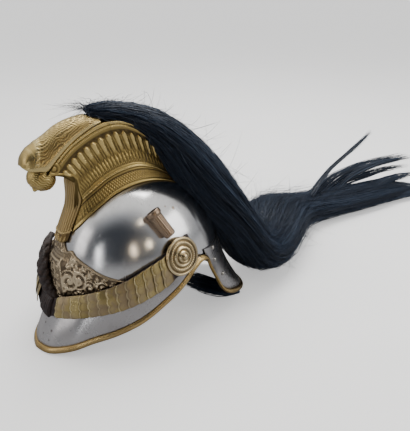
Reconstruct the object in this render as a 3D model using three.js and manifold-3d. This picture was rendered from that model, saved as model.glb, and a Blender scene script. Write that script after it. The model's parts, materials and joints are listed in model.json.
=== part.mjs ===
// A cavalry helmet with a steel skull, a brass crest and front plate, scaled chin straps and a
// horsehair mane that lies on the surface behind it.
// Millimetres, +Z up, the wearer looks along -Y and the wearer's left is +X.
import * as THREE from 'three';
import Module from 'manifold-3d';

const wasm = await Module();
wasm.setup();

// Driving dimensions
const SKULL_HALF_LENGTH = 113;
const SKULL_HALF_WIDTH = 90;
const SKULL_HEIGHT = 128;
const SKULL_POWER = 2.15;
const PLATE_THICKNESS = 1.5;
const GAP = 0.3;
const EDGING_WIDTH = 8;
const EDGING_THICKNESS = 4.5;
const HELMET_TILT = THREE.MathUtils.degToRad(8);
const HELMET_RAISE = 70.5;
const ROSETTE_RADIUS = 24;
const ROSETTE_HEIGHT = 9;
const SCALE_COUNT = 13;
const SCALE_OVERLAP = 2;
const LEATHER_THICKNESS = 2;
const PANEL_RISE = 4;
const GADROON_COUNT = 15;
const FLUTE_COUNT = 5;
const SPACE_LIFT = 2.8;
const CREST_CLEARANCE = 4.2;
const LOCK_COUNT = 7;
const MANE_TOLERANCE = 0.5;

// Looks of the materials
const LOOKS = {
  steel: { color: 0xb9babb, roughness: 0.28, metalness: 1 },
  brass: { color: 0xa5884a, roughness: 0.42, metalness: 1 },
  bronze: { color: 0x6f5b3c, roughness: 0.5, metalness: 1 },
  leather: { color: 0x2c211d, roughness: 0.7, metalness: 0 },
  horsehair: { color: 0x14171f, roughness: 0.6, metalness: 0 },
};

// The lower edge of the helmet, from the front centre round to the back centre.
// edgeAngle and rootAngle are degrees from the front, reach is how far the edge stands out.
const LOWER_EDGE = {
  columns: ['edgeAngle', 'reach', 'edgeZ', 'rootAngle', 'rootZ', 'rimZ'],
  rows: [
    [0, 45, -46, 0, 7, 2],
    [10, 41, -45.5, 10, 7, 2],
    [18, 33.5, -43.5, 18, 7.5, 2],
    [26, 26, -39.5, 26, 8, 3],
    [36, 16, -33.5, 36, 8, 3],
    [50, 9, -28, 50, 9, 4],
    [65, 7, -18.5, 65, 10, 5],
    [80, 5, -5, 80, 14, 8],
    [90, 4.5, 4, 90, 18, 11],
    [98, 3.5, 12, 98, 22, 15],
    [105, 3, 20, 105, 28, 20],
    [112, 3, 24, 112, 32, 24],
    [118, 3.5, 19, 118, 30, 23],
    [121, 4, 2, 122, 28, 21],
    [123.5, 6, -15, 126, 26, 19],
    [127, 9.5, -38, 130, 24, 17],
    [132, 13.5, -53, 134, 22, 15],
    [139, 19, -64, 140, 20, 13],
    [149, 26, -74, 149, 17, 10],
    [163, 32, -84.5, 163, 14, 8],
    [180, 35, -90.4, 180, 12, 6],
  ],
};
const VISOR_END_ROW = 9.4;
const NECK_START_ROW = 12.3;
const CENTRE_BACK_ROW = 20;
const EDGING_JOINT = 0.06;

// Where the rosettes sit along the straps, and the rivets of the neck guard: place and share.
const ROSETTE_PLACE = 1.35;
const RIVETS = [
  [15.1, 0.06],
  [15, 0.34],
  [16.2, 0.62],
];

// The outline of the front plate on the skull, one side of it.
const FRONT_PLATE = {
  columns: ['angle', 'topZ', 'bottomZ'],
  rows: [
    [0, 84, 9],
    [5, 81, 9],
    [9, 74, 9],
    [13, 70, 9.2],
    [18, 72, 9.4],
    [23, 67, 9.6],
    [29, 62, 10],
    [36, 56, 10.4],
    [46, 46, 11],
    [56, 38, 12],
    [66, 30, 13.5],
    [74, 27, 17],
  ],
};

// One side of the crest: its upper bead, its lower bead and its foot on the skull.
const CREST_SIDE = {
  columns: ['topY', 'topZ', 'beadY', 'beadZ', 'beadX', 'footY', 'footX'],
  rows: [
    [-93, 167, -61, 124, 14.5, -84, 15],
    [-84, 176, -56, 128.5, 17, -73, 22],
    [-73, 185, -48, 133, 19, -58, 26],
    [-60, 193, -38, 137.5, 20, -43, 28],
    [-45, 199, -26, 141.5, 20, -27, 28],
    [-29, 203.5, -14, 143.5, 20, -12, 28],
    [-12, 205, 0, 144, 20, 2, 28],
    [5, 201.5, 13, 142.5, 20, 17, 28],
    [21, 192, 26, 138, 20, 32, 28],
    [35, 178, 38, 131.5, 20, 45, 28],
    [47, 159, 49, 122.5, 20, 57, 28],
    [57, 136, 60, 111, 19.5, 68, 27],
    [69, 117, 72, 104, 18, 79, 25],
    [80, 99, 82, 95, 16, 88, 20],
  ],
};

// The hood over the front of the crest: its crown line and its side edge.
const CREST_CAP = {
  columns: ['crownY', 'crownZ', 'edgeX', 'edgeY', 'edgeZ'],
  rows: [
    [-116, 183, 6, -115, 180.5],
    [-111, 192, 13, -110, 176.5],
    [-103, 198.5, 17, -101, 174],
    [-93, 202.5, 18.2, -92, 172.5],
    [-80, 207, 18.2, -80, 181],
    [-67, 212.5, 18, -67, 189.6],
    [-53, 215.5, 17.5, -52, 197.4],
    [-38, 216, 17, -36, 203.2],
    [-29, 215, 16.5, -27, 205.2],
    [-20, 212, 15.5, -19, 206.2],
  ],
};

// The chin strap on one side: its upper and lower edges over the skull. The right one hangs
// looser, by its slack.
const CHIN_STRAP = {
  columns: ['angle', 'upperZ', 'upperLift', 'lowerZ', 'lowerLift', 'rightSlack'],
  rows: [
    [109, 62, 0.8, 36, 0.8, 0],
    [101, 60, 0.8, 29, 0.8, 0],
    [92, 55, 1.2, 21, 1.8, 0],
    [83, 50.5, 2.2, 16, 3.4, 1],
    [72, 46, 3.7, 11.5, 5.5, 4],
    [62, 40, 4.5, 7.5, 7.5, 8],
    [50, 34, 4.5, 4, 9, 11],
    [36, 28, 5, 1, 11.5, 12],
    [22, 22, 6, -3, 15, 9],
    [12, 16.5, 8, -6, 18.5, 5],
    [6, 12, 10.5, -8, 21, 2.5],
  ],
};

// The mane from its root on the crest to its tip on the surface, in the resting frame.
const MANE = {
  columns: ['x', 'y', 'z', 'halfWidth', 'halfDepth'],
  rows: [
    [0, -58, 284.1, 7, 3],
    [0, -38, 282.1, 14, 7],
    [1, -10.2, 276, 19, 10.1],
    [4.8, 17.8, 263, 29, 15.5],
    [9.3, 42.1, 241.5, 37, 22],
    [12.7, 64.7, 209.9, 43, 29.5],
    [16.4, 87.5, 176.5, 47, 33],
    [20.2, 112.5, 143.7, 49, 30.5],
    [22, 138.3, 106.5, 50, 27.8],
    [21.4, 162.9, 67.2, 49, 29],
    [17.3, 191.1, 40.3, 48, 30],
    [4, 221, 38, 50, 35],
    [-20, 254, 43, 54, 41],
    [-45, 292, 42, 54, 40],
    [-66, 334, 33, 47, 32],
    [-77, 380, 25, 42, 25],
    [-79, 430, 20.5, 43, 20.5],
    [-75, 485, 17.5, 44, 17.5],
    [-67, 545, 16.5, 42, 16.5],
    [-58, 605, 15, 36, 15],
    [-50, 655, 12, 26, 12],
    [-45, 695, 7.5, 14, 7],
    [-43, 715, 5, 5, 3.5],
  ],
};

// Locks that leave the mane near its tip, each from its root to its own tip: x, y, z and radius.
const FREE_LOCKS = [
  [
    [-88, 480, 24, 11],
    [-96, 530, 46, 9],
    [-92, 600, 62, 7],
    [-78, 665, 68, 4.5],
    [-66, 710, 70, 1.5],
  ],
  [
    [-60, 560, 20, 13],
    [-66, 610, 32, 10],
    [-58, 660, 38, 7],
    [-46, 705, 40, 2],
  ],
  [
    [-40, 590, 10, 12],
    [-26, 640, 11, 9],
    [-16, 690, 8, 5],
    [-10, 712, 6, 2],
  ],
];

const radians = THREE.MathUtils.degToRad;
const v3 = (x, y, z) => new THREE.Vector3(x, y, z);

// A row of a table at a fractional place, by a Catmull-Rom curve through each column.
function rowAt(table, place) {
  const rows = table.rows;
  const last = rows.length - 1;
  const at = THREE.MathUtils.clamp(place, 0, last);
  const i = Math.min(Math.floor(at), last - 1);
  const t = at - i;
  const result = {};
  table.columns.forEach((name, c) => {
    const b = rows[i][c];
    const d = rows[i + 1][c];
    const a = i > 0 ? rows[i - 1][c] : 2 * b - d;
    const e = i + 2 <= last ? rows[i + 2][c] : 2 * d - b;
    const m0 = (d - a) / 2;
    const m1 = (e - b) / 2;
    const t2 = t * t;
    const t3 = t2 * t;
    result[name] = (2 * t3 - 3 * t2 + 1) * b + (t3 - 2 * t2 + t) * m0
      + (3 * t2 - 2 * t3) * d + (t3 - t2) * m1;
  });
  return result;
}

// A row of a half table that is mirrored about its first row; its angles change sign there.
function mirroredRow(table, place, angleNames) {
  const side = place < 0 ? -1 : 1;
  const row = rowAt(table, Math.abs(place));
  angleNames.forEach((name) => { row[name] *= side; });
  return row;
}

const spread = (from, to, count) => Array.from({ length: count + 1 },
  (_, i) => from + (to - from) * i / count);

// The skull

// The outward direction of the skull's surface.
function skullNormal(x, y, z) {
  const ring = Math.hypot(x / SKULL_HALF_WIDTH, y / SKULL_HALF_LENGTH);
  const pull = ring ** (SKULL_POWER - 2);
  const up = z > 0 ? (z / SKULL_HEIGHT) ** (SKULL_POWER - 1) / SKULL_HEIGHT : 0;
  return v3(pull * x / SKULL_HALF_WIDTH ** 2, pull * y / SKULL_HALF_LENGTH ** 2, up).normalize();
}

// A point on the skull by its angle from the front and its height, raised by lift.
function onSkull(angle, z, lift = 0) {
  const share = z > 0 ? Math.min(z / SKULL_HEIGHT, 1) : 0;
  const ring = (1 - share ** SKULL_POWER) ** (1 / SKULL_POWER);
  const x = SKULL_HALF_WIDTH * ring * Math.sin(radians(angle));
  const y = -SKULL_HALF_LENGTH * ring * Math.cos(radians(angle));
  return v3(x, y, z).addScaledVector(skullNormal(x, y, z), lift);
}

// The height of the skull's surface over a point of the plan.
function skullHeight(x, y) {
  const ring = Math.hypot(x / SKULL_HALF_WIDTH, y / SKULL_HALF_LENGTH);
  return SKULL_HEIGHT * (1 - Math.min(ring, 1) ** SKULL_POWER) ** (1 / SKULL_POWER);
}

// Closed bodies from grids and rings of points

function closedGeometry(points, triangles) {
  const keys = new Map();
  const kept = [];
  const index = points.map((p) => {
    const key = `${p.x.toFixed(3)},${p.y.toFixed(3)},${p.z.toFixed(3)}`;
    if (!keys.has(key)) {
      keys.set(key, kept.length);
      kept.push(p);
    }
    return keys.get(key);
  });
  const faces = triangles
    .map((t) => t.map((i) => index[i]))
    .filter(([a, b, c]) => a !== b && b !== c && c !== a);
  const volume = faces.reduce(
    (sum, [a, b, c]) => sum + kept[a].dot(v3(0, 0, 0).crossVectors(kept[b], kept[c])), 0);
  const ordered = volume < 0 ? faces.map(([a, b, c]) => [a, c, b]) : faces;
  const geometry = new THREE.BufferGeometry();
  geometry.setAttribute('position', new THREE.Float32BufferAttribute(
    kept.flatMap((p) => [p.x, p.y, p.z]), 3));
  geometry.setIndex(ordered.flat());
  return geometry;
}

// A wall between two grids of points of the same size, closed round its borders.
function slab(front, back, wrap = false) {
  const columns = front.length;
  const rows = front[0].length;
  const points = [...front.flat(), ...back.flat()];
  const id = (side, i, j) => side * columns * rows + (i % columns) * rows + j;
  const triangles = [];
  const quad = (a, b, c, d) => triangles.push([a, b, c], [a, c, d]);
  const spans = wrap ? columns : columns - 1;
  for (let i = 0; i < spans; i += 1) {
    for (let j = 0; j < rows - 1; j += 1) {
      quad(id(0, i, j), id(0, i + 1, j), id(0, i + 1, j + 1), id(0, i, j + 1));
      quad(id(1, i, j), id(1, i, j + 1), id(1, i + 1, j + 1), id(1, i + 1, j));
    }
    quad(id(0, i, 0), id(1, i, 0), id(1, i + 1, 0), id(0, i + 1, 0));
    quad(id(0, i, rows - 1), id(0, i + 1, rows - 1), id(1, i + 1, rows - 1), id(1, i, rows - 1));
  }
  if (!wrap) {
    for (let j = 0; j < rows - 1; j += 1) {
      quad(id(0, 0, j), id(0, 0, j + 1), id(1, 0, j + 1), id(1, 0, j));
      quad(id(0, columns - 1, j), id(1, columns - 1, j),
        id(1, columns - 1, j + 1), id(0, columns - 1, j + 1));
    }
  }
  return closedGeometry(points, triangles);
}

// A body through rings of points, with a flat fan over each end.
function ringBody(rings) {
  const count = rings[0].length;
  const points = rings.flat();
  const triangles = [];
  for (let i = 0; i < rings.length - 1; i += 1) {
    for (let j = 0; j < count; j += 1) {
      const a = i * count + j;
      const b = i * count + (j + 1) % count;
      triangles.push([a, b, b + count], [a, b + count, a + count]);
    }
  }
  [0, rings.length - 1].forEach((end) => {
    const centre = rings[end].reduce((sum, p) => sum.add(p), v3(0, 0, 0)).divideScalar(count);
    const hub = points.push(centre) - 1;
    for (let j = 0; j < count; j += 1) {
      const a = end * count + j;
      const b = end * count + (j + 1) % count;
      triangles.push(end === 0 ? [b, a, hub] : [a, b, hub]);
    }
  });
  return closedGeometry(points, triangles);
}

function toManifold(geometry) {
  return new wasm.Manifold(new wasm.Mesh({
    numProp: 3,
    vertProperties: new Float32Array(geometry.getAttribute('position').array),
    triVerts: new Uint32Array(geometry.getIndex().array),
  }));
}

function fromManifold(manifold) {
  const mesh = manifold.getMesh();
  const geometry = new THREE.BufferGeometry();
  geometry.setAttribute('position', new THREE.Float32BufferAttribute(mesh.vertProperties, 3));
  geometry.setIndex(Array.from(mesh.triVerts));
  return geometry;
}

// Cuts away what lies below the resting surface, given in the frame of the placement.
function cutAtFloor(geometry, placement) {
  const size = 2400;
  const box = new THREE.BoxGeometry(size, size, size);
  box.deleteAttribute('normal');
  box.deleteAttribute('uv');
  const corners = box.getAttribute('position');
  const points = [];
  for (let i = 0; i < corners.count; i += 1) {
    points.push(v3().fromBufferAttribute(corners, i).add(v3(0, 0, size / 2)));
  }
  const index = Array.from(box.getIndex().array);
  const triangles = [];
  for (let i = 0; i < index.length; i += 3) triangles.push(index.slice(i, i + 3));
  const above = closedGeometry(points, triangles);
  above.applyMatrix4(placement.clone().invert());
  return fromManifold(toManifold(geometry).intersect(toManifold(above)));
}

// The lower edge: visor, neck guard and their edging

// Places run on past the back centre, so the neck guard and its edging are one stretch.
function backRow(place) {
  return place > CENTRE_BACK_ROW ? place - 2 * CENTRE_BACK_ROW : place;
}

// A point of the visor or the neck guard: share 0 is its root on the skull, 1 is its edge.
function lowerSurface(place, share) {
  const row = mirroredRow(LOWER_EDGE, place, ['edgeAngle', 'rootAngle']);
  const root = onSkull(row.rootAngle, row.rootZ, GAP + PLATE_THICKNESS / 2);
  const rim = onSkull(row.edgeAngle, 0, 0);
  const out = v3(rim.x, rim.y, 0).normalize();
  const edge = v3(rim.x, rim.y, row.edgeZ).addScaledVector(out, row.reach);
  const bow = Math.abs(place) < 11 ? 0.09 : -0.13;
  const swell = bow * row.reach * Math.sin(Math.PI * share);
  return root.lerp(edge, share).addScaledVector(out, swell);
}

// The directions at a point of that surface: along it, down it and out of it.
function lowerFrame(place, share) {
  const step = 0.01;
  const here = lowerSurface(place, share);
  const along = lowerSurface(place + step, share).sub(lowerSurface(place - step, share)).normalize();
  const down = share > 0.5
    ? here.clone().sub(lowerSurface(place, share - step))
    : lowerSurface(place, share + step).sub(here);
  down.normalize();
  const out = v3(0, 0, 0).crossVectors(down, along).normalize();
  const away = v3(here.x, here.y, 0);
  if (out.dot(away) < 0) out.negate();
  return { here, along, down, out };
}

function lowerPlate(fromPlace, toPlace, columns) {
  const rows = 4;
  const places = spread(fromPlace, toPlace, columns).map(backRow);
  const faces = [1, -1].map((side) => places.map((place) => {
    const depth = lowerSurface(place, 0).distanceTo(lowerSurface(place, 1));
    const end = 1 - (EDGING_WIDTH / 2 + 2 * GAP) / depth;
    return spread(0, end, rows).map((share) => {
      const frame = lowerFrame(place, share);
      return frame.here.addScaledVector(frame.out, side * PLATE_THICKNESS / 2);
    });
  }));
  return slab(faces[0], faces[1]);
}

function edging(places) {
  const sides = 8;
  const rings = places.map((place) => {
    const frame = lowerFrame(place, 1);
    return spread(0, 2 * Math.PI, sides).slice(0, sides).map((turn) => frame.here.clone()
      .addScaledVector(frame.down, Math.cos(turn + Math.PI / sides) * EDGING_WIDTH / 2)
      .addScaledVector(frame.out, Math.sin(turn + Math.PI / sides) * EDGING_THICKNESS / 2));
  });
  return ringBody(rings);
}

function skull() {
  const columns = 28;
  const rows = 8;
  const shells = [0, -PLATE_THICKNESS].map((lift) => spread(0, CENTRE_BACK_ROW * 2, columns)
    .slice(0, columns).map((turn) => {
      const angle = 360 * turn / (CENTRE_BACK_ROW * 2);
      const rim = rimHeight(angle > 180 ? angle - 360 : angle);
      const low = Math.asin((rim / SKULL_HEIGHT) ** (SKULL_POWER / 2));
      return spread(Math.PI / 2, low, rows).map((rise) => {
        const z = SKULL_HEIGHT * Math.sin(rise) ** (2 / SKULL_POWER);
        return onSkull(angle, rise === Math.PI / 2 ? SKULL_HEIGHT : z, lift);
      });
    }));
  return slab(shells[0], shells[1], true);
}

// The height of the skull's lower rim at an angle from the front.
function rimHeight(angle) {
  const wanted = Math.abs(angle);
  let low = 0;
  let high = LOWER_EDGE.rows.length - 1;
  for (let i = 0; i < 30; i += 1) {
    const middle = (low + high) / 2;
    if (rowAt(LOWER_EDGE, middle).rootAngle < wanted) low = middle;
    else high = middle;
  }
  return rowAt(LOWER_EDGE, low).rimZ;
}

// The front plate with its raised centre panel, rim bead and leaf swells
function frontPlate() {
  const columns = 24;
  const rows = 6;
  const last = FRONT_PLATE.rows.length - 1;
  const grid = (lift) => spread(-last, last, columns).map((place) => {
    const row = mirroredRow(FRONT_PLATE, place, ['angle']);
    return spread(0, 1, rows).map((share) => {
      const z = row.topZ + (row.bottomZ - row.topZ) * share;
      return onSkull(row.angle, z, lift(row.angle, z, share));
    });
  });
  const smooth = THREE.MathUtils.smoothstep;
  const relief = (angle, z, share) => {
    const panel = PANEL_RISE * (1 - smooth(Math.abs(angle), 11, 21)) * (1 - smooth(z, 52, 66));
    const rim = share === 0 ? 0.5 : 0;
    const leaf = Math.abs(Math.sin(angle * 0.36)) * Math.sin(Math.PI * share) * 0.9;
    return GAP + 1.1 + panel + Math.min(rim + leaf, 1.2);
  };
  return slab(grid(relief), grid(() => GAP));
}

// The crest

// A point of a crest side: along is a place in its table, across is 0 at the top, 1 at the foot.
function crestSidePoint(place, across, inset, relief) {
  const row = rowAt(CREST_SIDE, place);
  const beadShare = 0.66;
  const foot = v3(row.footX, row.footY, skullHeight(row.footX, row.footY));
  foot.addScaledVector(skullNormal(foot.x, foot.y, foot.z), 2 * GAP);
  const top = v3(16, row.topY, row.topZ);
  const bead = v3(row.beadX, row.beadY, row.beadZ);
  if (across > beadShare) {
    const t = (across - beadShare) / (1 - beadShare);
    const point = bead.clone().lerp(foot, t);
    point.x -= inset + 0.8 * Math.sin(Math.PI * t);
    return point;
  }
  const t = across / beadShare;
  const point = top.clone().lerp(bead, t);
  point.x += -2.2 * Math.sin(Math.PI * t) - inset + relief(place, t);
  const frontPull = Math.max(0, 1 - place / 3) ** 2 * 5 * Math.sin(Math.PI * t);
  point.y += frontPull * 0.75;
  point.z -= frontPull * 0.65;
  return point;
}

function crestSide() {
  const columns = 30;
  const last = CREST_SIDE.rows.length - 1;
  const shares = [0, 0.05, 0.11, 0.3, 0.5, 0.66, 0.72, 1];
  const starts = [0, 0.15, 0.5, 1.45, 0.95, 0, 0, 0];
  const relief = (place, t) => {
    const ridge = Math.abs(Math.sin(Math.PI * place / last * GADROON_COUNT));
    const bead = t < 0.09 || t > 0.97 ? 0.9 : 0;
    return bead + 1.5 * ridge * Math.sin(Math.PI * t);
  };
  const grid = (inset, raised) => spread(0, 1, columns).map((run) => shares.map((share, i) => {
    const place = starts[i] + (last - starts[i]) * run;
    return crestSidePoint(place, share, inset, raised);
  }));
  return slab(grid(0, relief), grid(1.4, () => 0));
}

function crestTopStrip() {
  const last = CREST_SIDE.rows.length - 1;
  const halfWidth = 12.6;
  const start = 1;
  const line = spread(start, last, 20).map((place) => {
    const step = 0.05;
    const row = rowAt(CREST_SIDE, place);
    const next = rowAt(CREST_SIDE, Math.min(place + step, last));
    const before = rowAt(CREST_SIDE, place - step);
    const up = v3(0, before.topZ - next.topZ, next.topY - before.topY).normalize();
    return { at: v3(0, row.topY, row.topZ), up };
  });
  const grid = (drop) => line.map(({ at, up }) => [-halfWidth, 0, halfWidth].map(
    (x) => at.clone().setX(x).addScaledVector(up, -drop + (x === 0 ? 1 : 0))));
  return slab(grid(1), grid(3));
}

function crestCap() {
  const columns = 14;
  const ribs = 8;
  const last = CREST_CAP.rows.length - 1;
  const grid = (inset) => spread(0, last, columns).map((place, column) => {
    const row = rowAt(CREST_CAP, place);
    return spread(-1, 1, ribs).map((across, rib) => {
      const arc = across * Math.PI / 2;
      const rise = Math.cos(arc) ** 0.8;
      const x = (row.edgeX - inset) * Math.sin(arc);
      const y = row.edgeY + (row.crownY - row.edgeY) * rise;
      const ridge = inset === 0 && rib % 2 && column % 2 ? 0.7 : 0;
      const depth = row.crownZ - row.edgeZ;
      const share = Math.max(depth - inset, 0.5) + ridge;
      const forward = inset * Math.max(0, 1 - place / 2);
      return v3(x, y + forward, row.edgeZ + share * rise);
    });
  });
  return slab(grid(0), grid(PLATE_THICKNESS));
}

// The fluted stem that carries the front of the crest
function crestStem() {
  const halfWidth = 11;
  const sides = FLUTE_COUNT * 2;
  const shares = [0.36, 0.44, 0.52, 0.59, 0.66, 0.74, 0.82, 0.89, 0.94];
  const line = shares.map((share) => crestSidePoint(0, share, 0, () => 0));
  const grid = (inset) => line.map((point, i) => {
    const before = line[Math.max(i - 1, 0)];
    const next = line[Math.min(i + 1, line.length - 1)];
    const up = v3(0, before.y - next.y, before.z - next.z).normalize();
    const ahead = v3(0, -up.z, up.y);
    return spread(-1, 1, sides).map((across, side) => {
      const flute = inset === 0 && side % 2 ? 0.9 : 0;
      const bulge = 4.5 * Math.cos(across * Math.PI / 2) ** 0.7 + flute + 0.4 - inset;
      const x = (halfWidth - inset) * Math.sin(across * Math.PI / 2);
      return v3(x, point.y, point.z).addScaledVector(ahead, bulge);
    });
  });
  return slab(grid(0), grid(1.3));
}

// The small head under the hood: an ideal face looking forward and down
function crestHead() {
  const centre = v3(0, -96, 161);
  const pitch = radians(-38);
  const around = 18;
  const levels = 11;
  const rings = spread(0.04, 0.96, levels).map((level) => {
    const polar = Math.PI * level;
    const height = 16 * Math.cos(polar);
    const round = Math.sin(polar) ** 0.9;
    return spread(0, 2 * Math.PI, around).slice(0, around).map((turn) => {
      const front = Math.max(0, Math.cos(turn)) ** 6;
      const cheek = Math.max(0, Math.cos(turn)) ** 2;
      const nose = 4.5 * front * front * Math.exp(-(((height + 3) / 4.5) ** 2));
      const brow = 1.4 * cheek * Math.exp(-(((height - 5) / 3) ** 2));
      const chin = 2.2 * front * Math.exp(-(((height + 15) / 3.5) ** 2));
      const lips = 1.2 * front * Math.exp(-(((height + 9.5) / 2) ** 2));
      const hair = 1.6 * (1 - cheek) * Math.abs(Math.sin(turn * 3.5));
      const wide = 14.6 * round + hair;
      const deep = (15.5 + (Math.cos(turn) < 0 ? -2 : 0)) * round + nose + brow + chin + lips;
      return v3(wide * Math.sin(turn), -deep * Math.cos(turn), height)
        .applyAxisAngle(v3(1, 0, 0), -pitch).add(centre);
    });
  });
  return ringBody(rings);
}

// Chin straps and their scales

// A point over a chin strap: across runs from 0 at its upper edge to 1 at its lower edge.
function strapPoint(place, across, height, side) {
  const edge = (at, u) => {
    const row = rowAt(CHIN_STRAP, at);
    const slack = side < 0 ? row.rightSlack : 0;
    const upper = onSkull(row.angle, row.upperZ, row.upperLift + slack);
    const lower = onSkull(row.angle, row.lowerZ, row.lowerLift + slack);
    return upper.lerp(lower, u);
  };
  const step = 0.02;
  const here = edge(place, across);
  const along = edge(place + step, across).sub(edge(place - step, across));
  const down = edge(place, across + step).sub(here);
  const out = v3(0, 0, 0).crossVectors(along, down).normalize();
  if (out.dot(v3(here.x, here.y, 0)) < 0) out.negate();
  const bow = 1.2 * Math.sin(Math.PI * across);
  here.addScaledVector(out, height + bow);
  here.x *= side;
  return here;
}

const STRAP_LAST = CHIN_STRAP.rows.length - 1;
const SCALE_START = 2.75;
const SCALE_END = 9.15;

// The places along the strap that lie a scale's pitch apart.
function scalePlaces(side) {
  const steps = 400;
  const marks = spread(SCALE_START, SCALE_END, steps);
  const lengths = [0];
  marks.slice(1).forEach((place, i) => {
    const from = strapPoint(marks[i], 0.5, 0, side);
    lengths.push(lengths[i] + from.distanceTo(strapPoint(place, 0.5, 0, side)));
  });
  const total = lengths[steps];
  const placeAt = (length) => {
    const i = Math.min(lengths.findIndex((v) => v >= length - 1e-6), steps);
    return i < 0 ? SCALE_END : marks[i];
  };
  return { total, placeAt };
}

function leatherStrap(side) {
  const columns = 20;
  const grid = (height) => spread(0, STRAP_LAST, columns).map((place) => [0.02, 0.35, 0.65, 0.98].map(
    (across) => strapPoint(place, across, height, side)));
  return slab(grid(LEATHER_THICKNESS), grid(0));
}

function strapScale(number, side) {
  const { total, placeAt } = scalePlaces(side);
  const lobe = 2.2;
  const pitch = (total - lobe - SCALE_OVERLAP) / SCALE_COUNT;
  const from = number * pitch;
  const lobes = [0.3, 1, 0, 1.15, 0, 1, 0.3];
  const rise = (share) => LEATHER_THICKNESS + GAP + 2.1 * share;
  const grid = (thickness) => lobes.map((reach, j) => {
    const across = j / (lobes.length - 1);
    const length = pitch + SCALE_OVERLAP + lobe * (reach - 0.15);
    return [0, 1].map((share) => strapPoint(
      placeAt(Math.min(from + length * share, total)), across, rise(share) + thickness, side));
  });
  return slab(grid(1), grid(0));
}

function chinTie() {
  const middle = [5.85, 3.5, 1.2, -1.2, -3.5, -5.85];
  const rings = middle.map((angle, i) => {
    const row = rowAt(CHIN_STRAP, STRAP_LAST);
    const upper = onSkull(angle, row.upperZ + 1, row.upperLift);
    const lower = onSkull(angle, row.lowerZ - 1, row.lowerLift);
    const out = v3(0, -1, 0.15).normalize();
    const swell = i % 2 ? 1.2 : 0;
    return spread(0, 2 * Math.PI, 10).slice(0, 10).map((turn) => {
      const across = 0.5 + 0.5 * Math.cos(turn);
      return upper.clone().lerp(lower, across)
        .addScaledVector(out, 4 + (3.2 + swell) * Math.sin(turn));
    });
  });
  return ringBody(rings);
}

// A domed boss of rings that covers the end of each chin strap
function rosette() {
  const profile = [
    [0, 0], [23, 0], [24, 1], [23.5, 2.6], [20.5, 3.2], [19, 2.6], [16.5, 4.4], [13, 3.8],
    [10.5, 6], [7, 5.4], [5, 8.2], [0, ROSETTE_HEIGHT],
  ];
  const scale = ROSETTE_RADIUS / 24;
  return new THREE.LatheGeometry(profile.map(([r, h]) => new THREE.Vector2(r * scale, h)), 16);
}

// A tapered tube that holds a plume, with a flat mouth
function plumeSocket() {
  const profile = [
    [0, 0], [6.4, 0], [7.4, 2], [7.8, 28], [9.6, 31], [9.6, 36], [7.2, 36], [5.6, 8], [0, 8],
  ];
  return new THREE.LatheGeometry(profile.map(([r, h]) => new THREE.Vector2(r, h)), 14);
}

function rivet() {
  const profile = [[0, 0], [3.1, 0], [2.6, 1.4], [0, 2.2]];
  return new THREE.LatheGeometry(profile.map(([r, h]) => new THREE.Vector2(r, h)), 8);
}

// The mane: a core with locks fused round it
function mane() {
  const last = MANE.rows.length - 1;
  const sides = LOCK_COUNT * 2;
  const frames = spread(0, last, last).map((place) => {
    const row = rowAt(MANE, place);
    const ahead = rowAt(MANE, Math.min(place + 0.3, last));
    const behind = rowAt(MANE, Math.max(place - 0.3, 0));
    const along = v3(ahead.x - behind.x, ahead.y - behind.y, ahead.z - behind.z).normalize();
    const across = v3(along.y, -along.x, 0).normalize();
    const over = v3(0, 0, 0).crossVectors(across, along).normalize();
    return { row, across, over, at: v3(row.x, row.y, row.z) };
  });
  const rings = frames.map(({ row, across, over, at }, i) => spread(0, 2 * Math.PI, sides)
    .slice(0, sides).map((turn, j) => {
      const lock = j % 2 ? 1 : 0.88;
      const twist = turn + i * 0.08;
      return at.clone()
        .addScaledVector(across, row.halfWidth * lock * Math.cos(twist))
        .addScaledVector(over, row.halfDepth * lock * Math.sin(twist));
    }));
  const core = toManifold(ringBody(rings));
  const whole = FREE_LOCKS.reduce((body, rows) => body.add(toManifold(freeLock(rows))), core);
  const clear = [skullSpace(), crestSpace()].reduce(
    (body, space) => body.subtract(toManifold(space.applyMatrix4(placement))), whole);
  return cutAtFloor(fromManifold(clear.simplify(MANE_TOLERANCE)), new THREE.Matrix4());
}

// The space that the skull takes, a little larger, so that the mane lies round it
function skullSpace() {
  const rings = spread(0, 0.999, 5).map((rise) => {
    const z = SKULL_HEIGHT * Math.sin(rise * Math.PI / 2);
    return spread(0, 360, 20).slice(0, 20).map((angle) => onSkull(angle, z, SPACE_LIFT));
  });
  return ringBody(rings);
}

// The space between the crest sides and over its top strip, a little larger
function crestSpace() {
  const last = CREST_SIDE.rows.length - 1;
  const shares = [0, 0.3, 0.66, 1];
  const side = (turned) => spread(0, last, 15).map((place) => shares.map((share) => {
    const point = crestSidePoint(place, share, 0, () => 0);
    const lift = share === 0 ? 2 * GAP : 0;
    return point.add(v3(CREST_CLEARANCE, 2 * GAP, lift)).multiply(v3(turned, 1, 1));
  }));
  return slab(side(1), side(-1));
}

// One tapered lock along its rows
function freeLock(rows) {
  const count = 6;
  const centres = rows.map(([x, y, z]) => v3(x, y, z));
  return ringBody(rows.map((row, i) => {
    const before = centres[Math.max(i - 1, 0)];
    const next = centres[Math.min(i + 1, rows.length - 1)];
    const along = next.clone().sub(before).normalize();
    const across = v3(along.y, -along.x, 0).normalize();
    const over = v3(0, 0, 0).crossVectors(across, along).normalize();
    return spread(0, 2 * Math.PI, count).slice(0, count).map((turn) => centres[i].clone()
      .addScaledVector(across, row[3] * 1.5 * Math.cos(turn))
      .addScaledVector(over, row[3] * 0.8 * Math.sin(turn)));
  }));
}

// The assembly

const materials = Object.fromEntries(Object.entries(LOOKS).map(
  ([name, look]) => [name, new THREE.MeshStandardMaterial(look)]));

function piece(name, geometry, look, side = THREE.FrontSide) {
  const material = materials[look].clone();
  material.side = side;
  const mesh = new THREE.Mesh(geometry, material);
  mesh.name = name;
  return mesh;
}

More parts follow.
